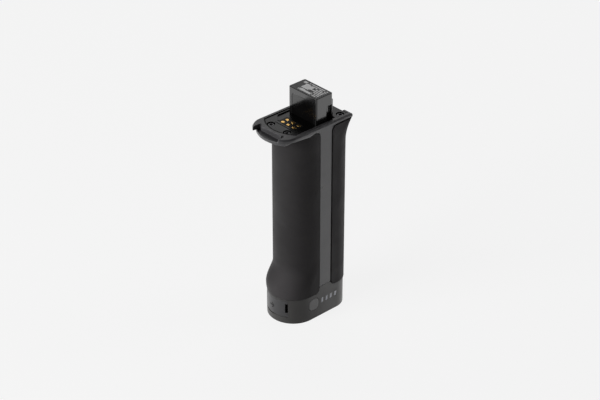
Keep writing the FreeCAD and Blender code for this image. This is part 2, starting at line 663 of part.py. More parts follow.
def collar_solid(drop=0.0):
    """The nose's underside, rising from the shaft's front out to the rim's lower edge."""
    inset = size("core_inset")
    half = size("grip_half") - inset
    front = size("shaft_front")
    low, high = size("collar_low") - drop, size("rim_low") - drop
    outer = rim_wire(0, high)
    back = -size("band_front")
    bow_end = outer.Edges[0].Vertexes[0].Point
    turn = math.atan2(abs(bow_end.x), -front - bow_end.y)
    corner_end = outer.Edges[1].Vertexes[1].Point

    def at(angle):
        return Vector(half * math.sin(angle), -front - half * math.cos(angle), low)

    def round_the_shaft(start, stop):
        return Part.Arc(at(start), at((start + stop) / 2), at(stop)).toShape()

    right_angle = math.pi / 2
    lower = Part.Wire(
        [
            round_the_shaft(turn, -turn),
            round_the_shaft(-turn, -right_angle),
            Part.LineSegment(at(-right_angle), Vector(-half, back, low)).toShape(),
            Part.LineSegment(Vector(-half, back, low), Vector(half, back, low)).toShape(),
            Part.LineSegment(Vector(half, back, low), at(right_angle)).toShape(),
            round_the_shaft(right_angle, turn),
        ]
    )
    wide = size("grip_half")
    upper = Part.Wire(
        [
            outer.Edges[0],
            outer.Edges[1],
            Part.LineSegment(corner_end, Vector(-wide, back, high)).toShape(),
            Part.LineSegment(Vector(-wide, back, high), Vector(wide, back, high)).toShape(),
            Part.LineSegment(Vector(wide, back, high), Vector(wide, corner_end.y, high)).toShape(),
            outer.Edges[-1],
        ]
    )
    return Part.makeLoft([lower, upper], True, True)


def gusset_solid(gap=0.0):
    """The rib below the nose that takes the two front plate screws, grown by a gap."""
    half = size("front_screw_across + boss_radius") + gap
    low, lip_low, top = size("gusset_low") - gap, size("collar_low") - gap, size("shelf_top")
    foot = size("front_screw_along + screw_shank + screw_fit")
    front = foot + (lip_low - low) * 3
    side = side_prism(
        [(-size("shaft_front"), low, 0), (-foot, low, 0), (-front, lip_low, 0), (-front, top, 0)]
        + [(-size("shaft_front"), top, 0)]
    )
    return side.common(Part.makeBox(2 * half, front, top - low, Vector(-half, -front, low)))


def rim_edge(gap=0.0):
    """The rim's lower edge in side view, as (y, z) corners from nose to rear."""
    low = size("rim_low") - gap
    return [
        (-size("nose_front") - 5, low),
        (-size("band_front") - size("cover_seam"), low),
        (size(RIM_REAR) + 5, low + size("rim_rise")),
    ]


def cover_window(low, y_low, y_high, low_corner, high_corner):
    """What a rubber cover fills in side view, round at its corners beside the band."""
    nose, band, rear = rim_edge(size("cover_seam"))
    rise = size("rim_rise") / (rear[0] - band[0])

    def top(y):
        return band[1] + rise * max(0, y - band[0])

    return side_prism(
        [
            (y_low, low, low_corner),
            (y_high, low, high_corner),
            (y_high, top(y_high), high_corner),
            (y_low, top(y_low), low_corner),
        ]
    )


def vertical_rod(radius, x, y, low, high):
    return Part.makeCylinder(radius, high - low, Vector(x, y, low))


def four_places(across_front, along_front, across_rear, along_rear):
    """Two places ahead of the axis and two behind it, left and right."""
    places = []
    for side in (-1, 1):
        places.append((side * size(across_front), -size(along_front)))
        places.append((side * size(across_rear), size(along_rear)))
    return places


PLATE_SCREWS = four_places("front_screw_across", "front_screw_along", *REAR_SCREW)
FOOT_SCREWS = four_places(*FRONT_POST, *REAR_POST)


# Frame: tube, side bands, rim and nose in one moulding


def frame_shape():
    half = size("grip_half")
    low, plate_low, plate_top = size("foot_height"), size("plate_low"), size("plate_top")
    rim_low, rim_top, rim_rear = size("rim_low"), size("rim_top"), size(RIM_REAR)
    shelf_top, lip_low = size("shelf_top"), size("collar_low")
    core = shaft_solid(size("core_inset"))
    bands = Part.makeBox(
        2 * half,
        size("band_rear") + size("band_front"),
        rim_low + size("rim_rise") - size("tongue_top") - size("foot_seam"),
        Vector(-half, -size("band_front"), size("tongue_top") + size("foot_seam")),
    )
    bevel_low = rim_top - size("rim_bevel_height")
    wall = prism(rim_wire(0, rim_low), bevel_low - rim_low)
    bevel = Part.makeLoft([rim_wire(0, bevel_low), rim_wire(size("rim_bevel"), rim_top)], True, True)
    drop_start = rim_rear - size("rim_flare")
    over = [
        (rim_rear + 5, rim_top - size("rim_drop") * (1 + 5 / size("rim_flare")), 0),
        (drop_start, rim_top, size("rim_flare")),
        (-size("nose_front") - 5, rim_top, 0),
    ]
    window = side_prism([(y, z, 0) for y, z in rim_edge()] + over)
    rim = wall.fuse(bevel).common(window)
    lip_radius, lip_back = size("lip_radius"), size("shaft_front")
    lip_centre = size("lip_tip") - lip_radius
    lip = bowed_prism(size("lip_half"), lip_radius, lip_centre, -lip_back, lip_low, rim_low)
    shell = core.multiFuse([bands, collar_solid(), rim, lip, gusset_solid()])
    inset = size("core_inset") + size("frame_wall")
    tube = prism(
        plan_wire(
            half - inset,
            size("shaft_front"),
            size("rear_face") - inset,
            size("rear_corner") - inset,
            low - 1,
        ),
        plate_low - low + 1,
    )
    bosses = []
    for x, y in PLATE_SCREWS:
        if y > 0:
            bosses.append(vertical_rod(size("boss_radius"), x, y, plate_low - size("boss_depth"), plate_low))
    for x, y in FOOT_SCREWS:
        bosses.append(vertical_rod(size("boss_radius"), x, y, low, low + size("frame_boss_height")))
    inside = core.fuse(rim)
    bosses = [boss.common(inside) for boss in bosses]
    shell = shell.cut(tube).multiFuse(bosses)
    pocket = bowed_prism(
        size(RIM_INNER),
        size("plate_arc") + size("plate_gap"),
        size("plate_arc_centre"),
        size(PLATE_REAR) + size("plate_gap"),
        plate_low,
        rim_top + 1,
    )
    shelf_half, shelf_back = size("shelf_half"), size("shelf_back")
    shelf_depth = size("nose_front") - shelf_back + 1
    shelf = Part.makeBox(
        2 * shelf_half,
        shelf_depth,
        rim_top - shelf_top + 1,
        Vector(-shelf_half, -shelf_back - shelf_depth, shelf_top),
    )
    holes = [pocket, shelf]
    width, notch_low = size("notch_width"), shelf_top - size("notch_depth")
    length = size("notch_length") + size("notch_inward")
    notch_front = -shelf_back - size("notch_length")
    for side in (-1, 1):
        x = side * (shelf_half - width / 2) - width / 2
        holes.append(
            Part.makeBox(width, length, rim_top - notch_low + 1, Vector(x, notch_front, notch_low))
        )
    tip_inner, rear_top = size("tip_inner"), size("rear_wall_top")
    gap_depth = rim_rear - size(PLATE_REAR) + 1
    holes.append(
        Part.makeBox(
            2 * tip_inner, gap_depth, rim_top - rear_top + 1, Vector(-tip_inner, size(PLATE_REAR), rear_top)
        )
    )
    shank = size("screw_shank") + size("screw_fit")
    screw_top = plate_top - size("screw_recess_depth")
    for x, y in PLATE_SCREWS:
        holes.append(vertical_rod(shank, x, y, screw_top - size("screw_length") - 0.4, plate_low + 1))
    for x, y in FOOT_SCREWS:
        holes.append(vertical_rod(shank, x, y, low - 1, low + size("foot_screw_bite") + 0.4))
    return shell.cut(holes).removeSplitter()


def bowed_prism(half, arc, centre, rear, low, high):
    """A solid with straight sides and rear and a bowed front."""
    corner = -centre - math.sqrt(arc**2 - half**2)

    def at(x, y):
        return Vector(x, y, low)

    wire = Part.Wire(
        [
            Part.Arc(at(half, corner), at(0, -centre - arc), at(-half, corner)).toShape(),
            Part.LineSegment(at(-half, corner), at(-half, rear)).toShape(),
            Part.LineSegment(at(-half, rear), at(half, rear)).toShape(),
            Part.LineSegment(at(half, rear), at(half, corner)).toShape(),
        ]
    )
    return prism(wire, high - low)


node(feature("grip_frame", frame_shape()), "grip_frame")


# Front rubber cover, from one side band round the front to the other


def front_cover_shape():
    outer = shaft_solid(-size("cover_proud"))
    core = shaft_solid(size("core_inset"))
    edge = -size("band_front") - size("cover_seam")
    low, seam = size("foot_height + foot_seam"), size("cover_seam")
    window = cover_window(low, -size("nose_front") - 5, edge, 0, size("cover_corner"))
    skin = outer.cut(core).common(window)
    return skin.cut([collar_solid(seam), gusset_solid(seam)]).removeSplitter()


node(feature("front_grip_cover", front_cover_shape()), "front_grip_cover")


# Rear rubber cover; its round corners turn square towards the top


def rear_cover_shape():
    outer = shaft_solid(-size("rear_proud"), size("flare_lean"))
    core = shaft_solid(size("core_inset"))
    edge = size("band_rear") + size("cover_seam")
    low = size("foot_height + rear_rim + foot_seam")
    window = cover_window(low, edge, size("rear_face") + 10, size("cover_corner"), 0)
    return outer.cut(core).common(window).removeSplitter()


node(feature("rear_grip_cover", rear_cover_shape()), "rear_grip_cover")


# Foot: hard plastic cup with posts, the port's housing and the openings in its wall

foot = new_body("foot_body")
add(foot, grip_outline("grip_half", "foot_front", "rear_face", "rear_corner"), "0", "foot_height")
soften(foot, "PartDesign::Chamfer", "foot_chamfer", lambda point: point.z < 0.01)
remove(
    foot,
    grip_outline(
        "grip_half - foot_wall", "foot_front", "rear_face - foot_wall", "rear_corner - foot_wall"
    ),
    "foot_floor",
    "foot_height",
)
add(foot, circle("0", "0", "insert_boss"), "foot_floor / 2", "insert_boss_top")
housing_half = "(port_half + port_wall)"
add(
    foot,
    rectangle(
        f"-{housing_half}",
        housing_half,
        "-foot_front - grip_half + 2 * foot_wall",
        "-port_back + port_wall",
    ),
    "foot_floor / 2",
    "foot_height",
)
add(
    foot,
    rectangle(
        "port_half", "finger_side", "-foot_front - grip_half + 2 * foot_wall", "-port_back + port_wall"
    ),
    "foot_floor / 2",
    "foot_height",
)
for x in ("-peg_across", "peg_across"):
    add(
        foot,
        circle(x, "-peg_along", "peg_radius"),
        "foot_floor / 2",
        "socket_middle - socket_height / 2 - board_thick",
    )
POSTS = []
for side in ("-", ""):
    POSTS.append((side + FRONT_POST[0], "-" + FRONT_POST[1]))
    POSTS.append((side + REAR_POST[0], REAR_POST[1]))
for across, along in POSTS:
    add(foot, circle(across, along, "boss_radius"), "foot_floor / 2", "foot_height")
raised = "foot_height + rear_rim"
add(
    foot,
    grip_outline("grip_half", "foot_front", "rear_face", "rear_corner"),
    "foot_height",
    raised,
)
inside_rim = "(core_inset - tongue_gap)"
remove(
    foot,
    grip_outline(
        f"grip_half - {inside_rim}",
        "foot_front",
        f"rear_face - {inside_rim}",
        f"rear_corner - {inside_rim}",
    ),
    "foot_height",
    raised,
)
remove(
    foot,
    rectangle("-grip_half - 1", "grip_half + 1", "-foot_front - grip_half - 1", "band_rear"),
    "foot_height",
    raised,
)
for inner, outer in (("-grip_half", "core_inset - grip_half"), ("grip_half - core_inset", "grip_half")):
    add(
        foot,
        rectangle("-band_front", "band_rear", "foot_height - 1", "tongue_top"),
        inner,
        outer,
        "YZ_Plane",
    )
remove(foot, circle("0", "0", "insert_radius + insert_fit"), "-1", "insert_height + insert_fit")
remove(foot, circle("0", "0", "insert_flange + insert_fit"), "-1", "insert_flange_height")
for across, along in POSTS:
    remove(foot, circle(across, along, "screw_shank + screw_fit"), "-1", "foot_height + 1")
    remove(foot, circle(across, along, "screw_head + foot_screw_room"), "-1", "foot_screw_sunk")
remove(
    foot,
    rectangle("-port_half", "port_half", "-foot_front - grip_half - 1", "-port_back", "0.8"),
    "port_low",
    "port_high",
)
remove(
    foot,
    rectangle(
        "-socket_half - socket_fit",
        "socket_half + socket_fit",
        "-port_back - 1",
        "-port_back + port_wall + 1",
    ),
    "socket_middle - socket_height / 2 - board_thick - socket_fit",
    "socket_middle + socket_height / 2 + socket_fit",
)
remove(
    foot,
    rectangle(
        "-button_front - button_gap",
        "button_gap - button_rear",
        "button_low - button_gap",
        "button_high + button_gap",
        "button_corner + button_gap",
    ),
    "grip_half - foot_wall - 1",
    "grip_half + 1",
    "YZ_Plane",
)


def light_bar(index, gap):
    """One slanted charge light seen from the side, grown by a gap."""
    start = f"light_first + {index} * light_pitch - light_width / 2 - {gap}"
    stop = f"light_first + {index} * light_pitch + light_width / 2 + {gap}"
    return polygon(
        [
            (f"{start} - light_lean / 2", f"light_low - {gap}"),
            (f"{stop} - light_lean / 2", f"light_low - {gap}"),
            (f"{stop} + light_lean / 2", f"light_high + {gap}"),
            (f"{start} + light_lean / 2", f"light_high + {gap}"),
        ]
    )


LIGHTS = range(int(size("light_count")))
for index in LIGHTS:
    remove(foot, light_bar(index, "light_gap"), "grip_half - foot_wall - 1", "grip_half + 1", "YZ_Plane")

# Port cover's opening: a sector of the wall, room for the knuckle, and holes for the pin
hinge_x = "-(grip_half - knuckle_radius) * sin(door_hinge * 1 deg)"
hinge_y = "-foot_front - (grip_half - knuckle_radius) * cos(door_hinge * 1 deg)"


def sector(name, radius, start, stop, low, high):
    """A slice of a cylinder about the foot's front axis, between two angles from the front."""
    slice_ = rod(name, radius, "0", "-foot_front", low, high)
    slice_.setExpression("Angle", bound(f"({stop}) - ({start})"))
    slice_.Placement.Rotation = FreeCAD.Rotation(Vector(0, 0, 1), -90 + size(start))
    slice_.setExpression("Placement.Rotation.Axis.z", "1")
    slice_.setExpression("Placement.Rotation.Angle", bound(f"({start}) - 90"))
    return slice_


seat = cut(
    "door_seat_ring",
    sector(
        "door_seat_outer",
        "grip_half + 1",
        "-door_hinge",
        "door_reach + door_side_gap",
        "door_low",
        "door_high",
    ),
    sector(
        "door_seat_inner",
        "grip_half - door_wall - door_seat",
        "-door_hinge - 5",
        "door_reach + door_side_gap + 5",
        "door_low - 1",
        "door_high + 1",
    ),
)
finger = cut(
    "finger_room",
    sector(
        "finger_outer",
        "grip_half + 1",
        "door_reach - finger_room",
        "door_reach",
        "finger_low",
        "finger_high",
    ),
    sector(
        "finger_inner",
        "grip_half - door_wall - finger_depth",
        "door_reach - finger_room - 5",
        "door_reach + 5",
        "finger_low - 1",
        "finger_high + 1",
    ),
)
slope = doc.addObject("Part::Cone", "sill_slope")
slope.setExpression("Radius1", bound("grip_half"))
slope.setExpression("Radius2", bound("grip_half - door_sill"))
slope.setExpression("Height", bound("door_sill"))
place(slope, "0", "-foot_front", "door_low - door_sill")
sill = cut(
    "door_sill_ring",
    sector(
        "sill_outer",
        "grip_half + 1",
        "-door_hinge",
        "door_reach + door_side_gap",
        "door_low - door_sill",
        "door_low",
    ),
    slope,
)
foot_cap = cut(
    "foot_cap",
    foot,
    seat,
    sill,
    finger,
    rod("knuckle_space", "knuckle_radius + knuckle_room", hinge_x, hinge_y, "door_low", "door_high"),
    rod("pin_space", "hinge_pin", hinge_x, hinge_y, "door_low - hinge_bite", "door_high + hinge_bite"),
)
node(foot_cap, "foot_cap")

# Port cover: curved plate with a knuckle on its left edge and a finger notch on its right
door_low = "door_low + door_gap"
door_high = "door_high - door_gap"
door_plate = cut(
    "door_plate",
    sector("door_outer", "grip_half", "-door_hinge", "door_reach", door_low, door_high),
    sector("door_inner", "grip_half - door_wall", "-door_hinge - 5", "door_reach + 5", "0", "foot_height"),
    sector(
        "door_notch",
        "grip_half + 1",
        "door_reach - finger_angle",
        "door_reach + 5",
        "finger_low",
        "finger_high",
    ),
)
door = cut(
    "port_cover",
    fuse(
        "door_with_knuckle",
        door_plate,
        rod("knuckle", "knuckle_radius", hinge_x, hinge_y, door_low, door_high),
    ),
    rod("knuckle_bore", "hinge_pin + hinge_fit", hinge_x, hinge_y, "0", "foot_height"),
)
node(door, "port_cover")
node(
    rod("port_cover_pin", "hinge_pin", hinge_x, hinge_y, "door_low - hinge_bite", "door_high + hinge_bite"),
    "port_cover_pin",
)

# Tripod insert: flanged metal bush, open at the base
insert = new_body("tripod_insert")
add(insert, circle("0", "0", "insert_flange"), "0", "insert_flange_height")
add(insert, circle("0", "0", "insert_radius"), "0", "insert_height")
remove(insert, circle("0", "0", "thread_radius"), "-1", "thread_depth")
node(insert, "tripod_insert")


# Screws: a head with a socket on a plain shank, standing at the origin with the head's seat at 0


def screw(name, shank_length):
    body = new_body(name)
    add(body, circle("0", "0", "screw_head"), "0", "screw_head_height")
    add(body, circle("0", "0", "screw_shank"), f"-({shank_length})", "screw_head_height / 2")
    remove(body, circle("0", "0", "screw_socket"), "screw_head_height / 3", "screw_head_height + 1")
    return body


plate_screw = screw("plate_screw", "screw_length")
head_seat = size("plate_top - screw_recess_depth")
node(
    copies("plate_screws", plate_screw, [(x, y, head_seat) for x, y in PLATE_SCREWS]),
    "plate_screws",
)
foot_screw = screw("foot_screw", "foot_height - foot_screw_sunk + foot_screw_bite")
doc.recompute()
upturned = doc.addObject("Part::Feature", "upturned_screw")
upturned.Shape = foot_screw.Shape.copy().rotated(Vector(0, 0, 0), Vector(1, 0, 0), 180)
node(
    copies("foot_screws", upturned, [(x, y, size("foot_screw_sunk")) for x, y in FOOT_SCREWS]),
    "foot_screws",
)

# Interface plate: fills the rim, with a shallow well and holes for the head, contacts and screws
plate = new_body("interface_plate")
add(
    plate,
    bowed_outline(f"{RIM_INNER} - plate_gap", "plate_arc", "plate_arc_centre", PLATE_REAR),
    "plate_low",
    "plate_top",
)
remove(
    plate,
    bowed_outline("well_half", "well_arc", "well_arc_centre", "well_rear"),
    "plate_top - well_depth",
    "plate_top + 1",
)
remove(
    plate,
    rectangle(
        f"-{HEAD_HALF} - head_gap",
        f"{HEAD_HALF} + head_gap",
        "-head_front - head_gap",
        "head_rear + rib_proud + head_gap",
        "head_corner",
    ),
    "plate_low - 1",
    "plate_top",
)
remove(
    plate,
    rectangle(
        "-holder_half - plate_gap",
        "holder_half + plate_gap",
        "-holder_front - plate_gap",
        "plate_gap - holder_rear",
        "holder_corner",
    ),
    "plate_low - 1",
    "plate_top",
)
remove(
    plate,
    rectangle(
        "-seam_slot_half",
        "seam_slot_half",
        "-seam_slot_place - seam_slot_width / 2",
        "seam_slot_width / 2 - seam_slot_place",
    ),
    "plate_top - well_depth",
    "plate_top + 1",
)
for across, along in (("front_screw_across", "-front_screw_along"), REAR_SCREW):
    for side in ("-", ""):
        remove(plate, circle(side + across, along, "screw_shank + screw_fit"), "plate_low - 1", "plate_top")
        recess = circle(side + across, along, "screw_recess")
        remove(plate, recess, "plate_top - screw_recess_depth", "plate_top + 1")
node(plate, "interface_plate")

# Contact holder and its six gold pads, each on a pin down to the contact board
board_top = f"({ROOF} + board_thick)"
PADS = [(column, row) for column in (-1, 0, 1) for row in (0, 1)]
holder = new_body("contact_holder")
add(
    holder,
    rectangle("-holder_half", "holder_half", "-holder_front", "-holder_rear", "holder_corner"),
    board_top,
    "holder_top",
)
for column, row in PADS:
    across = f"{column} * pad_across"
    along = f"{row} * pad_along - pad_first"
    remove(
        holder,
        rectangle(
            f"{across} - pad_width / 2 - plate_gap",
            f"{across} + pad_width / 2 + plate_gap",
            f"{along} - pad_length / 2 - plate_gap",
            f"{along} + pad_length / 2 + plate_gap",
            "pad_corner + plate_gap",
        ),
        "holder_top + pad_proud - pad_height",
        "holder_top + 1",
    )
    remove(holder, circle(across, along, "pin_radius + screw_fit"), f"{board_top} - 1", "holder_top")
node(holder, "contact_holder")
pad = new_body("gold_contact")
add(
    pad,
    rectangle("-pad_width / 2", "pad_width / 2", "-pad_length / 2", "pad_length / 2", "pad_corner"),
    "holder_top + pad_proud - pad_height",
    "holder_top + pad_proud",
)
add(pad, circle("0", "0", "pin_radius"), board_top, "holder_top")
pad_places = [
    (column * size("pad_across"), row * size("pad_along") - size("pad_first"), 0) for column, row in PADS
]
node(copies("gold_contacts", pad, pad_places), "gold_contacts")
node(
    block(
        "contact_board",
        "-contact_board_half",
        "contact_board_half",
        "-contact_board_front",
        "-contact_board_rear",
        ROOF,
        board_top,
    ),
    "contact_board",
)

# Head: hollow block through the plate, with latch slots, rear ribs, a front panel and a label
head = new_body("head_shell")
add(
    head,
    rectangle(
        f"-{HEAD_HALF} - head_flange",
        f"{HEAD_HALF} + head_flange",
        "-head_front - head_flange",
        "head_rear + rib_proud + head_flange",
        "head_corner",
    ),
    "plate_low - head_flange_height",
    "plate_low",
)
add(
    head,
    rectangle(f"-{HEAD_HALF}", HEAD_HALF, "-head_front", "head_rear", "head_corner"),
    "plate_low - head_flange_height",
    "head_top",
)
soften(head, "PartDesign::Fillet", "head_edge", lambda point: point.z > size("head_top") - 0.01)
rib_outer = f"({HEAD_HALF} - rib_inset)"
for low_side, high_side in (
    (f"-{rib_outer}", f"rib_width - {rib_outer}"),
    (f"{rib_outer} - rib_width", rib_outer),
):
    add(
        head,
        rectangle(low_side, high_side, "head_rear - head_wall / 2", "head_rear + rib_proud"),
        "plate_low - head_flange_height / 2",
        "rib_top",
    )
remove(
    head,
    rectangle(
        f"head_side_wall - {HEAD_HALF}",
        f"{HEAD_HALF} - head_side_wall",
        "head_wall - head_front",
        "head_rear - head_wall",
        "head_corner / 2",
    ),
    "plate_low - head_flange_height - 1",
    "head_top - head_wall",
)
for low_side, high_side in (
    (f"-{HEAD_HALF} - 1", f"notch_inset - {HEAD_HALF}"),
    (f"{HEAD_HALF} - notch_inset", f"{HEAD_HALF} + 1"),
):
    remove(
        head,
        rectangle(low_side, high_side, "notch_start", "head_rear - notch_rear"),
        "plate_low",
        "notch_high",
    )
panel_outline = rectangle(f"-{PANEL_HALF}", PANEL_HALF, "plate_low", "panel_top", "panel_corner")
remove(head, panel_outline, "head_front - panel_depth", "head_front + 1", "XZ_Plane")
label_sides = (
    f"label_margin - {HEAD_HALF}",
    f"{HEAD_HALF} - label_margin",
    "label_margin - head_front",
    "head_rear - label_margin",
    "head_corner / 2",
)
remove(head, rectangle(*label_sides), "head_top - label_thick", "head_top + 1")
node(head, "head_shell")
label = new_body("head_label")
add(label, rectangle(*label_sides), "head_top - label_thick", "head_top")
node(label, "head_label")
panel = new_body("head_front_panel")
add(panel, panel_outline, "head_front - panel_depth", "head_front - panel_sunk", "XZ_Plane")
node(panel, "head_front_panel")
node(
    block(
        "battery_board",
        "-power_board_half",
        "power_board_half",
        "power_board_place",
        "power_board_place + board_thick",
        ROOF,
        "power_board_top",
    ),
    "battery_board",
)

# Battery cells: two stacks of two, each a can with rounded ends and a raised terminal
cell = new_body("battery_cell")
add(cell, circle("0", "0", "cell_radius"), "0", "cell_length - cell_button_height")
soften(cell, "PartDesign::Fillet", "cell_edge", lambda point: True)
add(cell, circle("0", "0", "cell_button"), "cell_length - 2 * cell_button_height", "cell_length")
cell_low = size("insert_boss_top + cradle_floor + tab_thick")
cell_step = size("cell_length + tab_thick")
stacks = (-size("cell_front"), size("cell_pitch - cell_front"))
node(
    copies("battery_cells", cell, [(0, y, cell_low + cell_step * tier) for y in stacks for tier in (0, 1)]),
    "battery_cells",
)

# Nickel strips: one joins the stacks at the foot, one lies between the tiers of each, two are on top
strip_reach = "(cell_button + tab_width / 2)"
low_tab = block(
    "low_tab",
    "-tab_width / 2",
    "tab_width / 2",
    f"-cell_front - {strip_reach}",
    f"cell_pitch - cell_front + {strip_reach}",
    "insert_boss_top + cradle_floor",
    "insert_boss_top + cradle_floor + tab_thick",
)
tabs = [low_tab]
for tier in (1, 2):
    level = f"insert_boss_top + cradle_floor + {tier} * (tab_thick + cell_length)"
    for stack in ("-cell_front", "cell_pitch - cell_front"):
        tabs.append(
            block(
                f"tab_{len(tabs)}",
                "-tab_width / 2",
                "tab_width / 2",
                f"{stack} - {strip_reach}",
                f"{stack} + {strip_reach}",
                level,
                f"{level} + tab_thick",
            )
        )
strips = doc.addObject("Part::Compound", "cell_tabs")
strips.Links = tabs
node(strips, "cell_tabs")

# Cell cradles: an oval sleeve round both stacks, with a flange that centres it in the frame
sleeve_radius = "(cell_radius + cell_fit + cradle_wall)"
frame_inset = "(core_inset + frame_wall + cradle_gap)"


def cradle(name, low, high, flange_low, pocket_low, pocket_high):
    body = new_body(name)
    add(
        body,
        grip_outline(
            f"grip_half - {frame_inset}",
            "shaft_front",
            f"rear_face - {frame_inset}",
            f"rear_corner - {frame_inset}",
        ),
        flange_low,
        f"({flange_low}) + cradle_flange",
    )
    for stack in ("-cell_front", "cell_pitch - cell_front"):
        add(body, circle("0", stack, sleeve_radius), low, high)
    add(
        body,
        rectangle(f"-{sleeve_radius} / 2", f"{sleeve_radius} / 2", "-cell_front", "cell_pitch - cell_front"),
        low,
        high,
    )
    for stack in ("-cell_front", "cell_pitch - cell_front"):
        remove(body, circle("0", stack, "cell_radius + cell_fit"), pocket_low, pocket_high)
    remove(
        body,
        rectangle(
            "-tab_width / 2 - cell_fit",
            "tab_width / 2 + cell_fit",
            "-cell_front",
            "cell_pitch - cell_front",
        ),
        pocket_low,
        pocket_high,
    )
    return body


lower_cradle = cradle(
    "lower_cell_holder",
    "insert_boss_top",
    "cradle_flange_low + cradle_flange",
    "cradle_flange_low",
    "insert_boss_top + cradle_floor",
    "cradle_flange_low + cradle_flange + 1",
)
node(lower_cradle, "lower_cell_holder")
reach_low = f"{ROOF} - cradle_roof - cradle_reach"
upper_cradle = cradle(
    "upper_cell_holder",
    reach_low,
    ROOF,
    reach_low,
    f"{reach_low} - 1",
    f"{ROOF} - cradle_roof",
)
node(upper_cradle, "upper_cell_holder")

# Charging socket on its board, with the tongue that carries its contacts
socket_low = "(socket_middle - socket_height / 2)"
socket_high = "(socket_middle + socket_height / 2)"


def socket_outline(inset):
    """The socket's rounded mouth, in the plane of its width and height."""
    return (
        f"-socket_half + {inset}",
        f"socket_half - {inset}",
        f"{socket_low} + {inset}",
        f"{socket_high} - {inset}",
        f"socket_height / 2.2 - {inset}",
    )


def socket_body(name, outline, front, rear):
    """A piece seen from the front, made from its rear end forward."""
    body = new_body(name)
    sketch = body.newObject("Sketcher::SketchObject", name + "_sketch")
    plane = next(item for item in body.Origin.OriginFeatures if item.Role == "XZ_Plane")
    sketch.AttachmentSupport = (plane, [""])
    sketch.MapMode = "FlatFace"
    sketch.setExpression("AttachmentOffset.Base.z", bound(f"-({rear})"))
    outline(sketch)
    pad_ = body.newObject("PartDesign::Pad", name + "_pad")
    pad_.Profile = sketch
    pad_.setExpression("Length", bound(f"({rear}) - ({front})"))
    return body


socket_rear = "socket_length - port_back"
shell_outer = socket_body("socket_outer", rectangle(*socket_outline("0")), "-port_back", socket_rear)
shell_inner = socket_body(
    "socket_inner",
    rectangle(*socket_outline("socket_wall")),
    "-port_back - 1",
    f"{socket_rear} - 2 * socket_wall",
)
node(cut("usb_c_receptacle", shell_outer, shell_inner), "usb_c_receptacle")
tongue = socket_body(
    "usb_c_tongue",
    rectangle(
        "-socket_tongue_half",
        "socket_tongue_half",
        "socket_middle - socket_tongue_thick / 2",
        "socket_middle + socket_tongue_thick / 2",
        "socket_tongue_thick / 4",
    ),
    "socket_tongue_short - port_back",
    f"{socket_rear} - 2 * socket_wall",
)
node(tongue, "usb_c_tongue")
node(
    block(
        "charge_board",
        "-charge_board_half",
        "charge_board_half",
        "port_wall + 2 * socket_fit - port_back",
        "-charge_board_rear",
        f"{socket_low} - board_thick",
        socket_low,
    ),
    "charge_board",
)

# Button, its switch, and the board that carries the switch and the charge lights
button_middle = ("-(button_front + button_rear) / 2", "(button_low + button_high) / 2")
side_board_inner = "(grip_half - side_board_sunk)"
side_board_outer = f"({side_board_inner} + board_thick)"
plunger_top = f"({side_board_outer} + switch_height + plunger_height)"
inner_wall = "(grip_half - foot_wall - button_flange_gap)"
button = new_body("level_button")
add(
    button,
    rectangle("-button_front", "-button_rear", "button_low", "button_high", "button_corner"),
    f"{inner_wall} - button_flange_height",
    "grip_half",
    "YZ_Plane",
)
add(
    button,
    rectangle(
        "-button_front - button_flange",
        "button_flange - button_rear",
        "button_low - button_flange",
        "button_high + button_flange",
        "button_corner",
    ),
    f"{inner_wall} - button_flange_height",
    inner_wall,
    "YZ_Plane",
)
add(
    button,
    circle(*button_middle, "button_stem"),
    f"{plunger_top} + button_travel + button_gap",
    inner_wall,
    "YZ_Plane",
)
node(button, "level_button")
switch = new_body("level_switch")
add(
    switch,
    rectangle(
        f"{button_middle[0]} - switch_width / 2",
        f"{button_middle[0]} + switch_width / 2",
        f"{button_middle[1]} - switch_width / 2",
        f"{button_middle[1]} + switch_width / 2",
    ),
    side_board_outer,
    f"{side_board_outer} + switch_height",
    "YZ_Plane",
)
add(switch, circle(*button_middle, "plunger_radius"), side_board_outer, plunger_top, "YZ_Plane")
node(switch, "level_switch")
node(
    block(
        "button_board",
        side_board_inner,
        side_board_outer,
        "-side_board_front",
        "side_board_rear",
        "side_board_low",
        "side_board_high",
    ),
    "button_board",
)
guide = new_body("led_light_guide")
light_last = "(light_first + (light_count - 1) * light_pitch)"
guide_inner = "(grip_half - foot_wall - guide_gap - guide_bar)"
add(
    guide,
    rectangle(
        "light_first - light_width / 2 - light_lean / 2 - guide_margin",
        f"{light_last} + light_width / 2 + light_lean / 2 + guide_margin",
        "light_low - guide_margin",
        "light_high + guide_margin",
    ),
    guide_inner,
    f"{guide_inner} + guide_bar",
    "YZ_Plane",
)
for index in LIGHTS:
    add(guide, light_bar(index, "0"), guide_inner, "grip_half", "YZ_Plane")
node(guide, "led_light_guide")
chips = []
for index in LIGHTS:
    middle = f"light_first + {index} * light_pitch"
    chips.append(
        block(
            f"chip_{index}",
            side_board_outer,
            f"{side_board_outer} + chip_thick",
            f"{middle} - chip_width / 2",
            f"{middle} + chip_width / 2",
            "(light_low + light_high) / 2 - chip_height / 2",
            "(light_low + light_high) / 2 + chip_height / 2",
        )
    )
chip_group = doc.addObject("Part::Compound", "led_chips")
chip_group.Links = chips
node(chip_group, "led_chips")

# Check every object, then write each piece
doc.recompute()
faults = [thing.Label for thing in doc.Objects if "Invalid" in thing.State or "Error" in thing.State]
for piece in nodes:
    if piece.Shape.isNull() or not piece.Shape.isValid():
        faults.append(piece.Label + " has no valid shape")
if faults:
    raise SystemExit("not written: " + ", ".join(faults))
for piece in nodes:
    piece.Shape.exportStep(f"parts/{piece.Label}.step")
print(len(nodes), "pieces written")
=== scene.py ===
import math

import bmesh
import bpy
import numpy as np
from mathutils import Matrix, Vector


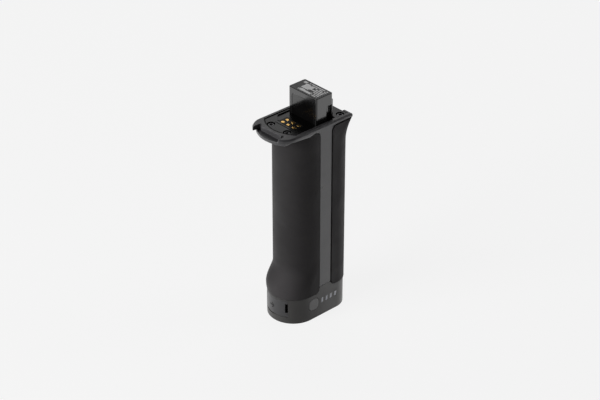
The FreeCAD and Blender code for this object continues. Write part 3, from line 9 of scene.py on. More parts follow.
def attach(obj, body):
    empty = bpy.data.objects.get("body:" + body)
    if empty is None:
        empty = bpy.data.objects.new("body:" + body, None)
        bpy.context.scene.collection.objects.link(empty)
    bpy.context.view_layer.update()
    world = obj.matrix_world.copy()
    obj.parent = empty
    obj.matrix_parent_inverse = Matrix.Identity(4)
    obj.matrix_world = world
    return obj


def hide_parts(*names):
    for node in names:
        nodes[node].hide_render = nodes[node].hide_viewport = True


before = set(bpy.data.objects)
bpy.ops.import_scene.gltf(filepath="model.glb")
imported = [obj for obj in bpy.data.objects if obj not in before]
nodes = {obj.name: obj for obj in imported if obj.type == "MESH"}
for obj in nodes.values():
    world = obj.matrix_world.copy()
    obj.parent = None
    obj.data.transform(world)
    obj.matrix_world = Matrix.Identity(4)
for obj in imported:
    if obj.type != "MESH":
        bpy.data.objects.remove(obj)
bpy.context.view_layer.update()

# Foot. A hard plastic cup, injection moulded with a fine spark-eroded grain, that closes the lower
# end of the grip. The openings for the port cover, the button and the charge lights are moulded in
# its wall, and four screws from below hold it to the frame.


def put(tree, kind, feeds, **settings):
    """Adds a shader node; feeds gives an input a value or joins it to another node's socket."""
    made = tree.nodes.new(kind)
    for key, value in settings.items():
        setattr(made, key, value)
    for key, value in feeds.items():
        if isinstance(value, bpy.types.NodeSocket):
            tree.links.new(value, made.inputs[key])
        else:
            made.inputs[key].default_value = value
    return made


def maths(tree, operation, first, second=0.0):
    """The result of a sum on numbers or sockets."""
    return put(tree, "ShaderNodeMath", {0: first, 1: second}, operation=operation).outputs[0]


def ranged(tree, socket, low, high, start=0.0, stop=1.0):
    """A socket's values between low and high, carried over to start and stop."""
    feeds = {"Value": socket, "From Min": low, "From Max": high, "To Min": start, "To Max": stop}
    return put(tree, "ShaderNodeMapRange", feeds).outputs[0]


def noise(tree, place, scale, **feeds):
    """Noise at a place: its scale is a number or a socket, and feeds name its other inputs."""
    settings = {"Vector": place, "Scale": scale, **{key.title(): value for key, value in feeds.items()}}
    return put(tree, "ShaderNodeTexNoise", settings).outputs["Fac"]


def new_group(name, inputs, outputs):
    """An empty node group with named number inputs and their defaults, and named outputs."""
    group = bpy.data.node_groups.new(name, "ShaderNodeTree")
    for label, value in inputs.items():
        socket = group.interface.new_socket(label, in_out="INPUT", socket_type="NodeSocketFloat")
        socket.default_value = value
    for label, kind in outputs.items():
        group.interface.new_socket(label, in_out="OUTPUT", socket_type="NodeSocket" + kind)
    return group, group.nodes.new("NodeGroupInput").outputs, group.nodes.new("NodeGroupOutput")


def finish_group(group, result, **sockets):
    """Joins sockets to the group's named outputs."""
    for label, socket in sockets.items():
        group.links.new(socket, result.inputs[label])
    return group


def spark_grain_group():
    """Spark-eroded mould grain: fine noise for the pits, and slow noise for a patchy tone."""
    group, given, result = new_group(
        "spark_grain", {"Pit Size": 0.0003, "Patch Size": 0.012}, {"Height": "Float", "Patch": "Float"}
    )
    place = put(group, "ShaderNodeTexCoord", {}).outputs["Object"]
    pits = maths(group, "DIVIDE", 1.0, given["Pit Size"])
    patches = maths(group, "DIVIDE", 1.0, given["Patch Size"])
    fine = noise(group, place, pits, detail=3.0, roughness=0.55)
    slow = noise(group, place, patches, detail=5.0, roughness=0.6)
    return finish_group(group, result, Height=fine, Patch=slow)


def edge_nearness_group():
    """Where an edge is near: how far the normal of a rounded edge turns from the flat one."""
    group, given, result = new_group(
        "edge_nearness", {"Edge Radius": 0.0003, "Reach": 0.06}, {"Edge": "Float", "Normal": "Vector"}
    )
    round_edge = put(group, "ShaderNodeBevel", {"Radius": given["Edge Radius"]}, samples=6)
    flat = put(group, "ShaderNodeNewGeometry", {}).outputs["Normal"]
    both = {0: round_edge.outputs[0], 1: flat}
    same = put(group, "ShaderNodeVectorMath", both, operation="DOT_PRODUCT").outputs["Value"]
    edge = ranged(group, maths(group, "SUBTRACT", 1.0, same), 0.0, given["Reach"])
    return finish_group(group, result, Edge=edge, Normal=round_edge.outputs[0])


def handling_group():
    """Handling marks and dust: slow noise breaks up fast noise, so that specks lie in patches."""
    group, given, result = new_group(
        "handling", {"Mark Size": 0.02, "Speck Size": 0.0009}, {"Smear": "Float", "Speck": "Float"}
    )
    place = put(group, "ShaderNodeTexCoord", {}).outputs["Object"]
    wide = maths(group, "DIVIDE", 1.0, given["Mark Size"])
    small = maths(group, "DIVIDE", 1.0, given["Speck Size"])
    marks = noise(group, place, wide, detail=4.0, distortion=0.8)
    cells = put(group, "ShaderNodeTexVoronoi", {"Vector": place, "Scale": small}).outputs["Distance"]
    speck = maths(group, "MULTIPLY", ranged(group, cells, 0.16, 0.05), ranged(group, marks, 0.52, 0.72))
    return finish_group(group, result, Smear=marks, Speck=speck)


spark_grain = spark_grain_group()
edge_nearness = edge_nearness_group()
handling = handling_group()


def use_group(tree, group, **values):
    """A node of a group, with values for some of its inputs; an underscore stands for a space."""
    made = tree.nodes.new("ShaderNodeGroup")
    made.node_tree = group
    for label, value in values.items():
        made.inputs[label.replace("_", " ")].default_value = value
    return made


def mixed(tree, factor, first, second):
    """The first colour where the factor is 0 and the second where it is 1."""
    mix = tree.nodes.new("ShaderNodeMix")
    mix.data_type = "RGBA"
    for index, value in ((0, factor), (6, first), (7, second)):
        if isinstance(value, bpy.types.NodeSocket):
            tree.links.new(value, mix.inputs[index])
        else:
            mix.inputs[index].default_value = value if index == 0 else (*value, 1.0)
    return mix.outputs[2]


def scaled(colour, factor):
    """A colour times a factor, with no channel above 1."""
    return tuple(min(1.0, channel * factor) for channel in colour)


def new_material(name):
    """A new material, its node tree and its main shader."""
    material = bpy.data.materials.new(name)
    material.use_nodes = True
    return material, material.node_tree, material.node_tree.nodes["Principled BSDF"]


def relieve(tree, shader, height, depth, strength=1.0, normal=None):
    """Carries a height into the shader's normal, on top of another normal where one is given."""
    feeds = {"Height": height, "Distance": depth, "Strength": strength}
    if normal is not None:
        feeds["Normal"] = normal
    tree.links.new(put(tree, "ShaderNodeBump", feeds).outputs[0], shader.inputs["Normal"])


def moulded_plastic(
    name, colour, roughness, pit=0.0003, depth=0.000006, wear_and_highlight=0.35, specular=0.4, edge=0.0003
):
    """Moulded plastic: patchy tone, pitted gloss, paler edges, partly from wear and partly a painted
    highlight, and a few specks of dust.
    """
    material, tree, shader = new_material(name)
    grain = use_group(tree, spark_grain, Pit_Size=pit)
    near_edge = use_group(tree, edge_nearness, Edge_Radius=edge)
    marks = use_group(tree, handling)
    patch = ranged(tree, grain.outputs["Patch"], 0.3, 0.7)
    tone = mixed(tree, patch, scaled(colour, 0.9), scaled(colour, 1.1))
    speck = ranged(tree, marks.outputs["Speck"], 0.0, 1.0, 0.0, 0.35)
    tone = mixed(tree, speck, tone, scaled(colour, 3.0))
    # Paler edges: wear, and where the share is high, as on the frame, a painted highlight.
    wear_and_highlight_share = maths(tree, "MULTIPLY", near_edge.outputs["Edge"], wear_and_highlight)
    tone = mixed(tree, wear_and_highlight_share, tone, scaled(colour, 1.9))
    tree.links.new(tone, shader.inputs["Base Color"])
    gloss = ranged(tree, marks.outputs["Smear"], 0.3, 0.7, roughness - 0.05, roughness + 0.06)
    tree.links.new(gloss, shader.inputs["Roughness"])
    shader.inputs["Specular IOR Level"].default_value = specular
    relieve(tree, shader, grain.outputs["Height"], depth, 0.6, near_edge.outputs["Normal"])
    return material


def dress(material, *names):
    """Gives a CAD node's mesh a finish of its own."""
    for name in names:
        mesh = nodes[name].data
        mesh.materials.clear()
        mesh.materials.append(material)


foot_plastic = moulded_plastic("foot_plastic", (0.040, 0.0384, 0.0370), 0.5, pit=0.00035, depth=0.00001)
dress(foot_plastic, "foot_cap")


# Tripod insert. A brass bush turned with a flange and a quarter-inch thread, pressed into the foot
# before the screws go in, so that its flange lies flush with the base.
MM = 0.001
MERGE_WITHIN = 0.0002


def piece_from_grids(name, grids, material, body="grip", around=True):
    """A piece from grids of points in millimetres, rows by columns by xyz, with quads between.

    Around joins each grid's last column to its first. Rows that shrink to a point close a pole.
    """
    points, faces, start = [], [], 0
    for grid in grids:
        rows, columns = grid.shape[:2]
        index = np.arange(rows * columns).reshape(rows, columns) + start
        if around:
            index = np.hstack([index, index[:, :1]])
        corners = (index[:-1, :-1], index[:-1, 1:], index[1:, 1:], index[1:, :-1])
        faces.append(np.stack(corners, axis=-1).reshape(-1, 4))
        points.append(grid.reshape(-1, 3))
        start += rows * columns
    mesh = bpy.data.meshes.new(name)
    mesh.from_pydata((np.concatenate(points) * MM).tolist(), [], np.concatenate(faces).tolist())
    work = bmesh.new()
    work.from_mesh(mesh)
    bmesh.ops.remove_doubles(work, verts=work.verts, dist=MERGE_WITHIN * MM)
    if around:
        bmesh.ops.recalc_face_normals(work, faces=work.faces)
    work.to_mesh(mesh)
    work.free()
    mesh.shade_smooth()
    mesh.materials.append(material)
    piece = bpy.data.objects.new(name, mesh)
    bpy.context.scene.collection.objects.link(piece)
    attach(piece, body)
    return piece


def crisp(piece, angle=35):
    """Smooth shading up to an angle, and a hard edge beyond it."""
    piece.data.set_sharp_from_angle(angle=math.radians(angle))
    return piece


def turned(profile, sides, waver=0.0):
    """A profile of (radius, height) rows carried round the upright axis, radius wavering with it."""
    angle = np.linspace(0, 2 * math.pi, sides, endpoint=False)
    radius = profile[:, :1] * np.ones(sides) + waver
    height = profile[:, 1:] * np.ones(sides)
    return np.stack([radius * np.cos(angle), radius * np.sin(angle), height], axis=-1)


def metal(name, colour, roughness, scratch=0.0006, depth=0.000004, edge=0.0001):
    """Turned or drawn metal: fine streaks round the upright axis, and brighter rubbed edges."""
    material, tree, shader = new_material(name)
    place = put(tree, "ShaderNodeTexCoord", {}).outputs["Object"]
    squeezed = put(tree, "ShaderNodeMapping", {"Vector": place, "Scale": (0.15, 0.15, 1.0)}).outputs[0]
    streaks = noise(tree, squeezed, 1 / scratch, detail=4.0)
    near_edge = use_group(tree, edge_nearness, Edge_Radius=edge)
    marks = use_group(tree, handling, Mark_Size=0.006)
    tone = mixed(tree, ranged(tree, marks.outputs["Smear"], 0.3, 0.7), scaled(colour, 0.86), colour)
    tone = mixed(tree, near_edge.outputs["Edge"], tone, scaled(colour, 1.25))
    tree.links.new(tone, shader.inputs["Base Color"])
    rough = ranged(tree, streaks, 0.3, 0.7, roughness - 0.07, roughness + 0.08)
    tree.links.new(rough, shader.inputs["Roughness"])
    shader.inputs["Metallic"].default_value = 1.0
    relieve(tree, shader, streaks, depth, normal=near_edge.outputs["Normal"])
    return material


THREAD_PITCH = 1.27
THREAD_DEPTH = 0.55
THREAD_RADIUS = 3.12
THREAD_MOUTH = 0.2
THREAD_RUN_OUT = 1.2
FLANK_STEEPNESS = 1.35
ROOT_FLAT = 0.1
BUSH_SIDES = 72
thread_rows = np.linspace(6.9, 0.45, 66)
insert_profile = np.array(
    [(0.0, 7.2), (2.6, 7.2), (3.1, 7.0)]
    + [(THREAD_RADIUS, height) for height in thread_rows]
    + [(3.35, 0.15), (3.6, 0.03), (4.4, 0.0), (8.1, 0.0), (8.35, 0.03), (8.48, 0.16), (8.5, 1.45)]
    + [(5.2, 1.5), (5.2, 7.9), (5.0, 8.0), (0.0, 8.0)]
)

# The thread is a ridge of trapezium section, one turn to each pitch, which fades out at the mouth.
turn = np.linspace(0, 1, BUSH_SIDES, endpoint=False)
in_thread = (insert_profile[:, 0] == THREAD_RADIUS)[:, None]
phase = (insert_profile[:, 1:] / THREAD_PITCH - turn) % 1.0
fade = np.clip((insert_profile[:, 1:] - THREAD_MOUTH) / THREAD_RUN_OUT, 0, 1)
ridge = np.clip(FLANK_STEEPNESS * (1 - abs(2 * phase - 1)) - ROOT_FLAT, 0, 1)
thread = np.where(in_thread, -THREAD_DEPTH * fade * ridge, 0.0)
insert_brass = metal("insert_brass", (0.62, 0.50, 0.30), 0.32)
bush = turned(insert_profile, BUSH_SIDES, thread)
tripod_insert = piece_from_grids("tripod_bush", [bush], insert_brass)
crisp(tripod_insert, 40)
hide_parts("tripod_insert")

# Screws. Black steel cap screws with a hexagon socket: four from below through the foot, and four
# from above that hold the interface plate down on the frame.
PLATE_SCREWS = ((-7.8, -22.5), (7.8, -22.5), (-12.7, 19.9), (12.7, 19.9))
FOOT_SCREWS = ((-10.81, -15.61), (10.81, -15.61), (-12.2, 18.6), (12.2, 18.6))
SOCKET_ROWS = slice(13, 16)
SOCKET_TURN = 0.4
SOCKET_SIZE = 1.06
SCREW_SIDES = 48


def screw_grid(x, y, seat, length, side):
    """A cap screw turned about its axis; its socket's rows follow a hexagon instead of a circle.

    The side is 1 for a head above its seat and -1 for a screw driven from below.
    """
    profile = np.array(
        [(0.0, -length), (0.8, -length), (1.0, 0.3 - length), (1.0, -0.15), (1.15, 0.0)]
        + [(2.05, 0.0), (2.15, 0.1), (2.15, 0.75), (2.1, 1.02), (1.95, 1.2), (1.7, 1.29), (1.45, 1.3)]
        + [(1.22, 1.24), (1.15, 1.1), (1.13, 0.5), (1.05, 0.42), (0.0, 0.36)]
    )
    turn = np.linspace(0, 2 * math.pi, SCREW_SIDES, endpoint=False)
    sixth = math.pi / 3
    hexagon = math.cos(sixth / 2) / np.cos((turn + SOCKET_TURN) % sixth - sixth / 2)
    six_sided = np.zeros(len(profile))
    six_sided[SOCKET_ROWS] = 1.0
    waver = profile[:, :1] * (hexagon * SOCKET_SIZE - 1) * six_sided[:, None]
    grid = turned(profile, SCREW_SIDES, waver)
    grid[..., 2] *= side
    return grid + np.array([x, y, seat])


screw_steel = metal("screw_steel", (0.16, 0.16, 0.165), 0.36)
upper_screws = [screw_grid(x, y, seat=146.6, length=4.2, side=1) for x, y in PLATE_SCREWS]
plate_screws = crisp(piece_from_grids("plate_cap_screws", upper_screws, screw_steel))
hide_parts("plate_screws")
lower_screws = [screw_grid(x, y, seat=4.0, length=21.3, side=-1) for x, y in FOOT_SCREWS]
foot_screws = crisp(piece_from_grids("foot_cap_screws", lower_screws, screw_steel))
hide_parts("foot_screws")

# Port cover. A curved plate of the foot's own plastic on a steel pin, which opens like a door. A
# fingernail notch at its right edge shows dark, and a plain moulded arrow marks the charging port.
GRIP_HALF = 18.2
FOOT_FRONT = 10.4
ARROW_LEVEL = 11.5
ARROW_TIP = (1.5, ARROW_LEVEL)
STROKE_PROUD = 0.11
STROKE_ROOT = 0.03
cover_plastic = moulded_plastic(
    "cover_plastic", (0.034, 0.0333, 0.0355), 0.5, depth=0.000008, specular=0.45
)
dress(cover_plastic, "port_cover")
dress(metal("pin_steel", (0.55, 0.55, 0.56), 0.3), "port_cover_pin")


def on_foot_front(angle, height, proud):
    """Points on the foot's rounded front: degrees to the right of its middle, height and relief."""
    reach = GRIP_HALF + proud
    turn = np.radians(angle)
    return np.stack([reach * np.sin(turn), -FOOT_FRONT - reach * np.cos(turn), height], axis=-1)


def moulded_stroke(start, stop, width):
    """A raised stroke on the port cover between two (degrees, height) ends.

    It is half an ellipse across, and narrows towards its rounded ends.
    """
    along = np.linspace(0, 1, 13)[:, None]
    across = np.linspace(-1, 1, 9)[None, :]
    run = np.array(stop) - np.array(start)
    millimetres = np.array([run[0] * math.radians(GRIP_HALF), run[1]])
    length = np.hypot(*millimetres)
    side = np.array([-millimetres[1], millimetres[0]]) / length
    narrow = np.sqrt(np.clip(1 - abs(2 * along - 1) ** 6, 0, 1))
    sideways = across * narrow * width / 2
    angle = start[0] + run[0] * along + np.degrees(sideways * side[0] / GRIP_HALF)
    height = start[1] + run[1] * along + sideways * side[1]
    proud = STROKE_PROUD * np.sqrt(np.clip(1 - across**2, 0, 1)) * narrow - STROKE_ROOT
    return on_foot_front(angle, height, proud)


mark_strokes = [moulded_stroke((-13.5, ARROW_LEVEL), (-1.0, ARROW_LEVEL), width=1.0)]
mark_strokes += [moulded_stroke((-6.0, end), ARROW_TIP, width=0.9) for end in (13.6, 9.4)]
mark_plastic = moulded_plastic("mark_plastic", (0.010, 0.010, 0.010), 0.5, wear_and_highlight=0.2, specular=0.12)
port_mark = piece_from_grids("port_arrow", mark_strokes, mark_plastic, body="port_cover", around=False)

# Charging socket. A drawn steel shell with a black tongue, soldered on a green board behind the
# port cover; the board rests on two pegs of the foot.
dress(metal("socket_steel", (0.62, 0.62, 0.63), 0.25), "usb_c_receptacle")


def board_material(name):
    """Circuit board: glossy green solder mask over brighter tracks, with specks of tin."""
    material, tree, shader = new_material(name)
    mask = (0.012, 0.07, 0.035)
    place = put(tree, "ShaderNodeTexCoord", {}).outputs["Object"]
    tracks = put(tree, "ShaderNodeTexBrick", {"Vector": place, "Scale": 260.0, "Mortar Size": 0.03})
    marks = use_group(tree, handling, Mark_Size=0.004)
    tone = mixed(tree, tracks.outputs["Fac"], scaled(mask, 1.25), mask)
    pads = ranged(tree, marks.outputs["Speck"], 0.2, 0.5)
    tree.links.new(mixed(tree, pads, tone, (0.55, 0.55, 0.53)), shader.inputs["Base Color"])
    tree.links.new(ranged(tree, marks.outputs["Smear"], 0.3, 0.7, 0.22, 0.4), shader.inputs["Roughness"])
    relieve(tree, shader, tracks.outputs["Fac"], 0.00002)
    return material


board_mask = board_material("board_mask")
dress(board_mask, "charge_board", "button_board", "contact_board", "battery_board")
black_plastic = moulded_plastic(
    "black_plastic", (0.010, 0.010, 0.011), 0.42, pit=0.0002, wear_and_highlight=0.2, edge=0.0002, specular=0.12
)
dress(black_plastic, "usb_c_tongue", "level_switch")

# Level button, switch and charge lights. The button is a satin plastic key that slides in the foot's
# wall; one clear moulding behind the wall carries the four light bars, with a chip behind each.
button_plastic = moulded_plastic(
    "button_plastic", (0.190, 0.187, 0.188), 0.42, pit=0.0004, wear_and_highlight=0.3, edge=0.00045
)
dress(button_plastic, "level_button")


def frosted_clear(name):
    """Frosted clear plastic: milky and pale, with faint clouds in it."""
    material, tree, shader = new_material(name)
    cloud = use_group(tree, spark_grain, Pit_Size=0.0002, Patch_Size=0.002)
    patch = ranged(tree, cloud.outputs["Patch"], 0.3, 0.7)
    milk = mixed(tree, patch, (0.60, 0.61, 0.66), (0.72, 0.73, 0.78))
    tree.links.new(milk, shader.inputs["Base Color"])
    tree.links.new(ranged(tree, cloud.outputs["Height"], 0.3, 0.7, 0.3, 0.45), shader.inputs["Roughness"])
    shader.inputs["Subsurface Weight"].default_value = 0.3
    shader.inputs["Subsurface Radius"].default_value = (0.0006, 0.0006, 0.0006)
    return material


dress(frosted_clear("frosted_clear"), "led_light_guide")
dress(moulded_plastic("chip_ceramic", (0.78, 0.75, 0.55), 0.4, pit=0.0002, wear_and_highlight=0.0), "led_chips")

# Cells. Four 18650 cells in blue shrink film, two stacks of two, joined by welded nickel strips and
# held at both ends by black cradles that fit the frame's bore.


def shrink_film(name):
    """Shrink film over a can: blue, with faint wrinkles."""
    material, tree, shader = new_material(name)
    marks = use_group(tree, handling, Mark_Size=0.01)
    grain = use_group(tree, spark_grain, Pit_Size=0.002)
    smear = ranged(tree, marks.outputs["Smear"], 0.3, 0.7)
    film = mixed(tree, smear, (0.03, 0.14, 0.26), (0.05, 0.2, 0.34))
    tree.links.new(film, shader.inputs["Base Color"])
    tree.links.new(ranged(tree, grain.outputs["Patch"], 0.3, 0.7, 0.25, 0.42), shader.inputs["Roughness"])
    relieve(tree, shader, grain.outputs["Height"], 0.00002)
    return material


dress(shrink_film("shrink_film"), "battery_cells")
dress(metal("nickel_strip", (0.66, 0.64, 0.60), 0.34), "cell_tabs")
dress(black_plastic, "lower_cell_holder", "upper_cell_holder")

# Frame. One moulding in dark grey glass-filled plastic: the tube round the cells, the flat band on
# each side, the raised rim that slides into the gimbal, and the nose that overhangs the front.
# Its edges are painted paler at the full share: a painted highlight along the rim and the nose's lip.
frame_plastic = moulded_plastic(
    "frame_plastic", (0.062, 0.0606, 0.0640), 0.32, pit=0.00028, depth=0.000006, wear_and_highlight=1.0, edge=0.0006
)
dress(frame_plastic, "grip_frame")

# Rubber covers. Soft black rubber moulded in two skins, which lie in the frame's two recesses with a
# fine seam round them. The front one swells out over the foot as a finger rest.
FOOT_TOP = 19.3
FOOT_REAR_TOP = 20.75
FOOT_SEAM = 0.25
FRONT_LOW = FOOT_TOP + FOOT_SEAM
REAR_LOW = FOOT_REAR_TOP + FOOT_SEAM
SHAFT_FRONT = 4.3
REAR_FACE = 26.9
REAR_CORNER = 13.0
BAND_FRONT = 2.5
BAND_REAR = 7.65
BAND_SEAM = 0.55
SKIN_HIGH = 145.4
SKIN_WALL = 1.35
SKIN_ROUNDING = 0.5
SKIN_CORNER = 4.0
FRONT_PROUD = 0.3
REAR_PROUD = 0.5
SWELL_REACH = 6.5
SWELL_LEVEL = 24.5
SWELL_RISE = 15.5
SWELL_DRAW_BACK = 0.7
NOSE_UNDER = 142.75
BEND_FROM = 0.72
BEND_SPAN = 0.5
BEND_RISE = 0.6
SIDE_UNDER = 142.4
SIDE_FROM = 17.0
SIDE_SLOPE = 2.25
SQUARE_FROM = 128.0
SQUARE_RISE = 19.3
SQUARE_CORNER = 1.0
REAR_TOP = 145.7
REAR_BAND_TOP = 145.56
RIM_SLOPE = 0.01466
RIM_SLOPE_FROM = -2.9
# Centre, outer reach and full-strength reach of a painted highlight on the swell's upward face.
SWELL_LIGHT_CENTRE = np.array([7.5, -27.5, 27.0])
SWELL_LIGHT_EDGE = 20.0
SWELL_LIGHT_CORE = 6.0


def rubber(name):
    """Soft-touch rubber: a fine leathery grain in two sizes, dull, with a painted highlight on the swell.
    """
    material, tree, shader = new_material(name)
    coarse = use_group(tree, spark_grain, Pit_Size=0.0011, Patch_Size=0.03)
    fine = use_group(tree, spark_grain, Pit_Size=0.00035, Patch_Size=0.008)
    marks = use_group(tree, handling, Mark_Size=0.03, Speck_Size=0.0012)
    colour = (0.0300, 0.0280, 0.0290)
    patch = ranged(tree, coarse.outputs["Patch"], 0.3, 0.7)
    tone = mixed(tree, patch, scaled(colour, 0.88), scaled(colour, 1.1))
    patch = ranged(tree, fine.outputs["Patch"], 0.45, 0.75, 0.0, 0.4)
    tone = mixed(tree, patch, tone, scaled(colour, 1.3))
    # Painted highlight: paler round a centre on the swell's upward face, where light falls from above.
    place = put(tree, "ShaderNodeTexCoord", {}).outputs["Object"]
    both = {0: place, 1: MM * SWELL_LIGHT_CENTRE}
    from_swell_light = put(tree, "ShaderNodeVectorMath", both, operation="DISTANCE").outputs["Value"]
    swell_highlight = ranged(tree, from_swell_light, MM * SWELL_LIGHT_EDGE, MM * SWELL_LIGHT_CORE)
    tone = mixed(tree, swell_highlight, tone, scaled(colour, 2.1))
    tone = mixed(tree, ranged(tree, marks.outputs["Speck"], 0, 1, 0, 0.4), tone, scaled(colour, 3.5))
    tree.links.new(tone, shader.inputs["Base Color"])
    tree.links.new(ranged(tree, marks.outputs["Smear"], 0.3, 0.7, 0.62, 0.76), shader.inputs["Roughness"])
    shader.inputs["Specular IOR Level"].default_value = 0.18
    shader.inputs["Sheen Weight"].default_value = 0.05
    shader.inputs["Sheen Roughness"].default_value = 0.4
    feeds = {"Height": coarse.outputs["Height"], "Distance": 0.00003, "Strength": 0.5}
    pebbles = put(tree, "ShaderNodeBump", feeds).outputs[0]
    relieve(tree, shader, fine.outputs["Height"], 0.00002, 0.6, pebbles)
    return material


def eased(count, crowd):
    """Steps from 0 to 1 that crowd towards both ends."""
    share = np.linspace(0, 1, count)
    return share * (1 - crowd) + crowd * (1 - np.cos(math.pi * share)) / 2


def swell(level):
    """How far the front stands forward of the straight shaft: half a cosine above the peak level,
    and a shallow parabola below it, where it draws back to the foot."""
    rise = np.clip((level - SWELL_LEVEL) / SWELL_RISE, 0, 1)
    above = 0.5 * SWELL_REACH * (1 + np.cos(math.pi * rise))
    below = SWELL_REACH - SWELL_DRAW_BACK * ((SWELL_LEVEL - level) / (SWELL_LEVEL - FOOT_TOP)) ** 2
    return np.where(level >= SWELL_LEVEL, above, below)


def corner_bite(level, low, high):
    """How much a round corner takes off the skin's edge at a level: its radius less the other leg
    of the right-angled triangle in its quarter circle."""
    inside = np.clip(np.minimum(level - low, high - level), 0, SKIN_CORNER)
    return SKIN_CORNER - np.sqrt(SKIN_CORNER**2 - (SKIN_CORNER - inside) ** 2)


def front_skin(columns=151, rows=181):
    """The front skin: a path along one side, round the front's half circle and back along the other,
    carried from the foot up to the nose. Its top edge is level ahead, rises round the bend with the
    square of the angle, and at the sides climbs in proportion to the distance from the middle."""
    half = GRIP_HALF + FRONT_PROUD
    share = eased(columns, crowd=0.6)[None, :]
    climb = eased(rows, crowd=0.92)[:, None]
    start = BAND_FRONT + BAND_SEAM
    straight, arc = SHAFT_FRONT - start, math.pi * half
    turn = np.clip(((2 * straight + arc) * share - straight) / half, 0, math.pi) - math.pi / 2
    ahead = NOSE_UNDER + BEND_RISE * np.clip((abs(turn) - BEND_FROM) / BEND_SPAN, 0, 1) ** 2
    aside = SIDE_UNDER + SIDE_SLOPE * (half * abs(np.sin(turn)) - SIDE_FROM)
    top = np.minimum(SKIN_HIGH, np.maximum(ahead, aside))
    level = FRONT_LOW + (top - FRONT_LOW) * climb
    centre = SHAFT_FRONT + swell(level)
    run = centre - start
    total = 2 * run + arc
    edge = corner_bite(FRONT_LOW + (SKIN_HIGH - FRONT_LOW) * climb, FRONT_LOW, SKIN_HIGH)
    path = edge + (total - 2 * edge) * share
    angle = np.clip((path - run) / half, 0, math.pi)
    x = half * np.cos(angle)
    y = -centre - half * np.sin(angle) + np.maximum(run - path, 0) + np.maximum(path - run - arc, 0)
    return np.stack([x, y, level], axis=-1)


def rear_skin(rows=181, side_steps=17, bend_steps=29, back_steps=41):
    """The rear skin: along one side, round a corner, across the back and round again. Above 128 mm
    the corners' radius and the back draw in with the square of the height, to a square top."""
    climb = eased(rows, crowd=0.85)[:, None]
    level = REAR_LOW + (REAR_TOP - REAR_LOW) * climb
    square = np.clip((level - SQUARE_FROM) / SQUARE_RISE, 0, 1) ** 2
    half = GRIP_HALF + REAR_PROUD
    back = REAR_FACE + REAR_PROUD - square
    bend = REAR_CORNER + REAR_PROUD
    bend = bend + (SQUARE_CORNER - bend) * square
    beside = REAR_LOW + (REAR_BAND_TOP - REAR_LOW) * climb
    edge = BAND_REAR + BAND_SEAM + corner_bite(beside, REAR_LOW, REAR_BAND_TOP)
    side = eased(side_steps, crowd=0.5)[None, :]
    swing = np.linspace(0, math.pi / 2, bend_steps)[None, 1:-1]
    behind = np.linspace(1, -1, back_steps)[None, :]
    inner, deep = half - bend, back - bend
    x = np.hstack([half + 0 * side + 0 * climb, inner + bend * np.cos(swing), inner * behind])
    y = np.hstack([edge + (deep - edge) * side, deep + bend * np.sin(swing), back + 0 * behind])
    other = -1 - back_steps
    x = np.hstack([x, -x[:, other::-1]])
    y = np.hstack([y, y[:, other::-1]])
    top = SKIN_HIGH + RIM_SLOPE * (y - RIM_SLOPE_FROM)
    level = REAR_LOW + (top - REAR_LOW) * climb
    return np.stack([x, y, level], axis=-1)


def cover_piece(name, grid, node):
    """A skin with its wall behind it and its edges rounded over."""
    piece = piece_from_grids(name, [grid], grip_rubber, around=False)
    wall = piece.modifiers.new("wall", "SOLIDIFY")
    wall.thickness = SKIN_WALL * MM
    wall.offset = -1.0
    rounding = piece.modifiers.new("rounding", "BEVEL")
    rounding.width = SKIN_ROUNDING * MM
    rounding.segments = 3
    rounding.limit_method = "ANGLE"
    rounding.angle_limit = math.radians(40)
    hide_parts(node)
    return piece


grip_rubber = rubber("grip_rubber")
cover_piece("front_skin", front_skin()[:, ::-1], "front_grip_cover")
cover_piece("rear_skin", rear_skin(), "rear_grip_cover")

# Corner webs. The frame and the foot fill the rubber skins' rounded corners flush with the band;
# each web is the region between a square corner and the arc that the skin follows with its seam.
RIM_UNDER_FRONT = 146.1
RIM_UNDER_REAR = 146.25
UPPER_ARC = 4.4
LOWER_ARC = 4.2
WEB_WALL = 1.0
WEB_SUNK = 0.01


def corner_web(side, corner, toward, radius, steps=17, rings=5):
    """A web's face, from the arc out to the square corner, in (y, z). It lies flush with the band,
    and ahead of the shaft's front centre it follows the circle of the shaft's front.

    Toward gives the directions from the corner to the arc's centre.
    """
    corner, toward = np.array(corner), np.array(toward)
    centre = corner + radius * toward
    turn = np.linspace(0, math.pi / 2, steps)[:, None]
    arc = centre - toward * radius * np.hstack([np.cos(turn), np.sin(turn)])
    legs = np.clip(np.linspace((0, -1), (2, 1), steps), 0, 1)
    square = corner + radius * toward * np.stack([legs[:, 1], 1 - legs[:, 0]], axis=-1)
    share = np.linspace(0, 1, rings)[None, :, None]
    flat = arc[:, None] + (square - arc)[:, None] * share
    bulge = np.clip(-SHAFT_FRONT - flat[..., 0], 0, None)
    x = side * (np.sqrt(GRIP_HALF**2 - bulge**2) - WEB_SUNK)
    web = np.stack([x, flat[..., 0], flat[..., 1]], axis=-1)
    return web if side * toward[0] * toward[1] > 0 else web[:, ::-1]


def web_piece(name, webs, finish):
    """The webs of one end as one piece, with a wall behind their faces."""
    piece = piece_from_grids(name, webs, finish, around=False)
    wall = piece.modifiers.new("wall", "SOLIDIFY")
    wall.thickness = WEB_WALL * MM
    wall.offset = -1.0


upper_webs = [corner_web(side, (-BAND_FRONT, RIM_UNDER_FRONT), (-1, -1), UPPER_ARC) for side in (-1, 1)]
upper_webs += [corner_web(side, (BAND_REAR, RIM_UNDER_REAR), (1, -1), UPPER_ARC) for side in (-1, 1)]
web_piece("upper_webs", upper_webs, frame_plastic)
lower_webs = [corner_web(side, (-BAND_FRONT, FOOT_TOP), (-1, 1), LOWER_ARC) for side in (-1, 1)]
lower_webs += [corner_web(side, (BAND_REAR, FOOT_REAR_TOP), (1, 1), LOWER_ARC) for side in (-1, 1)]
web_piece("lower_webs", lower_webs, foot_plastic)

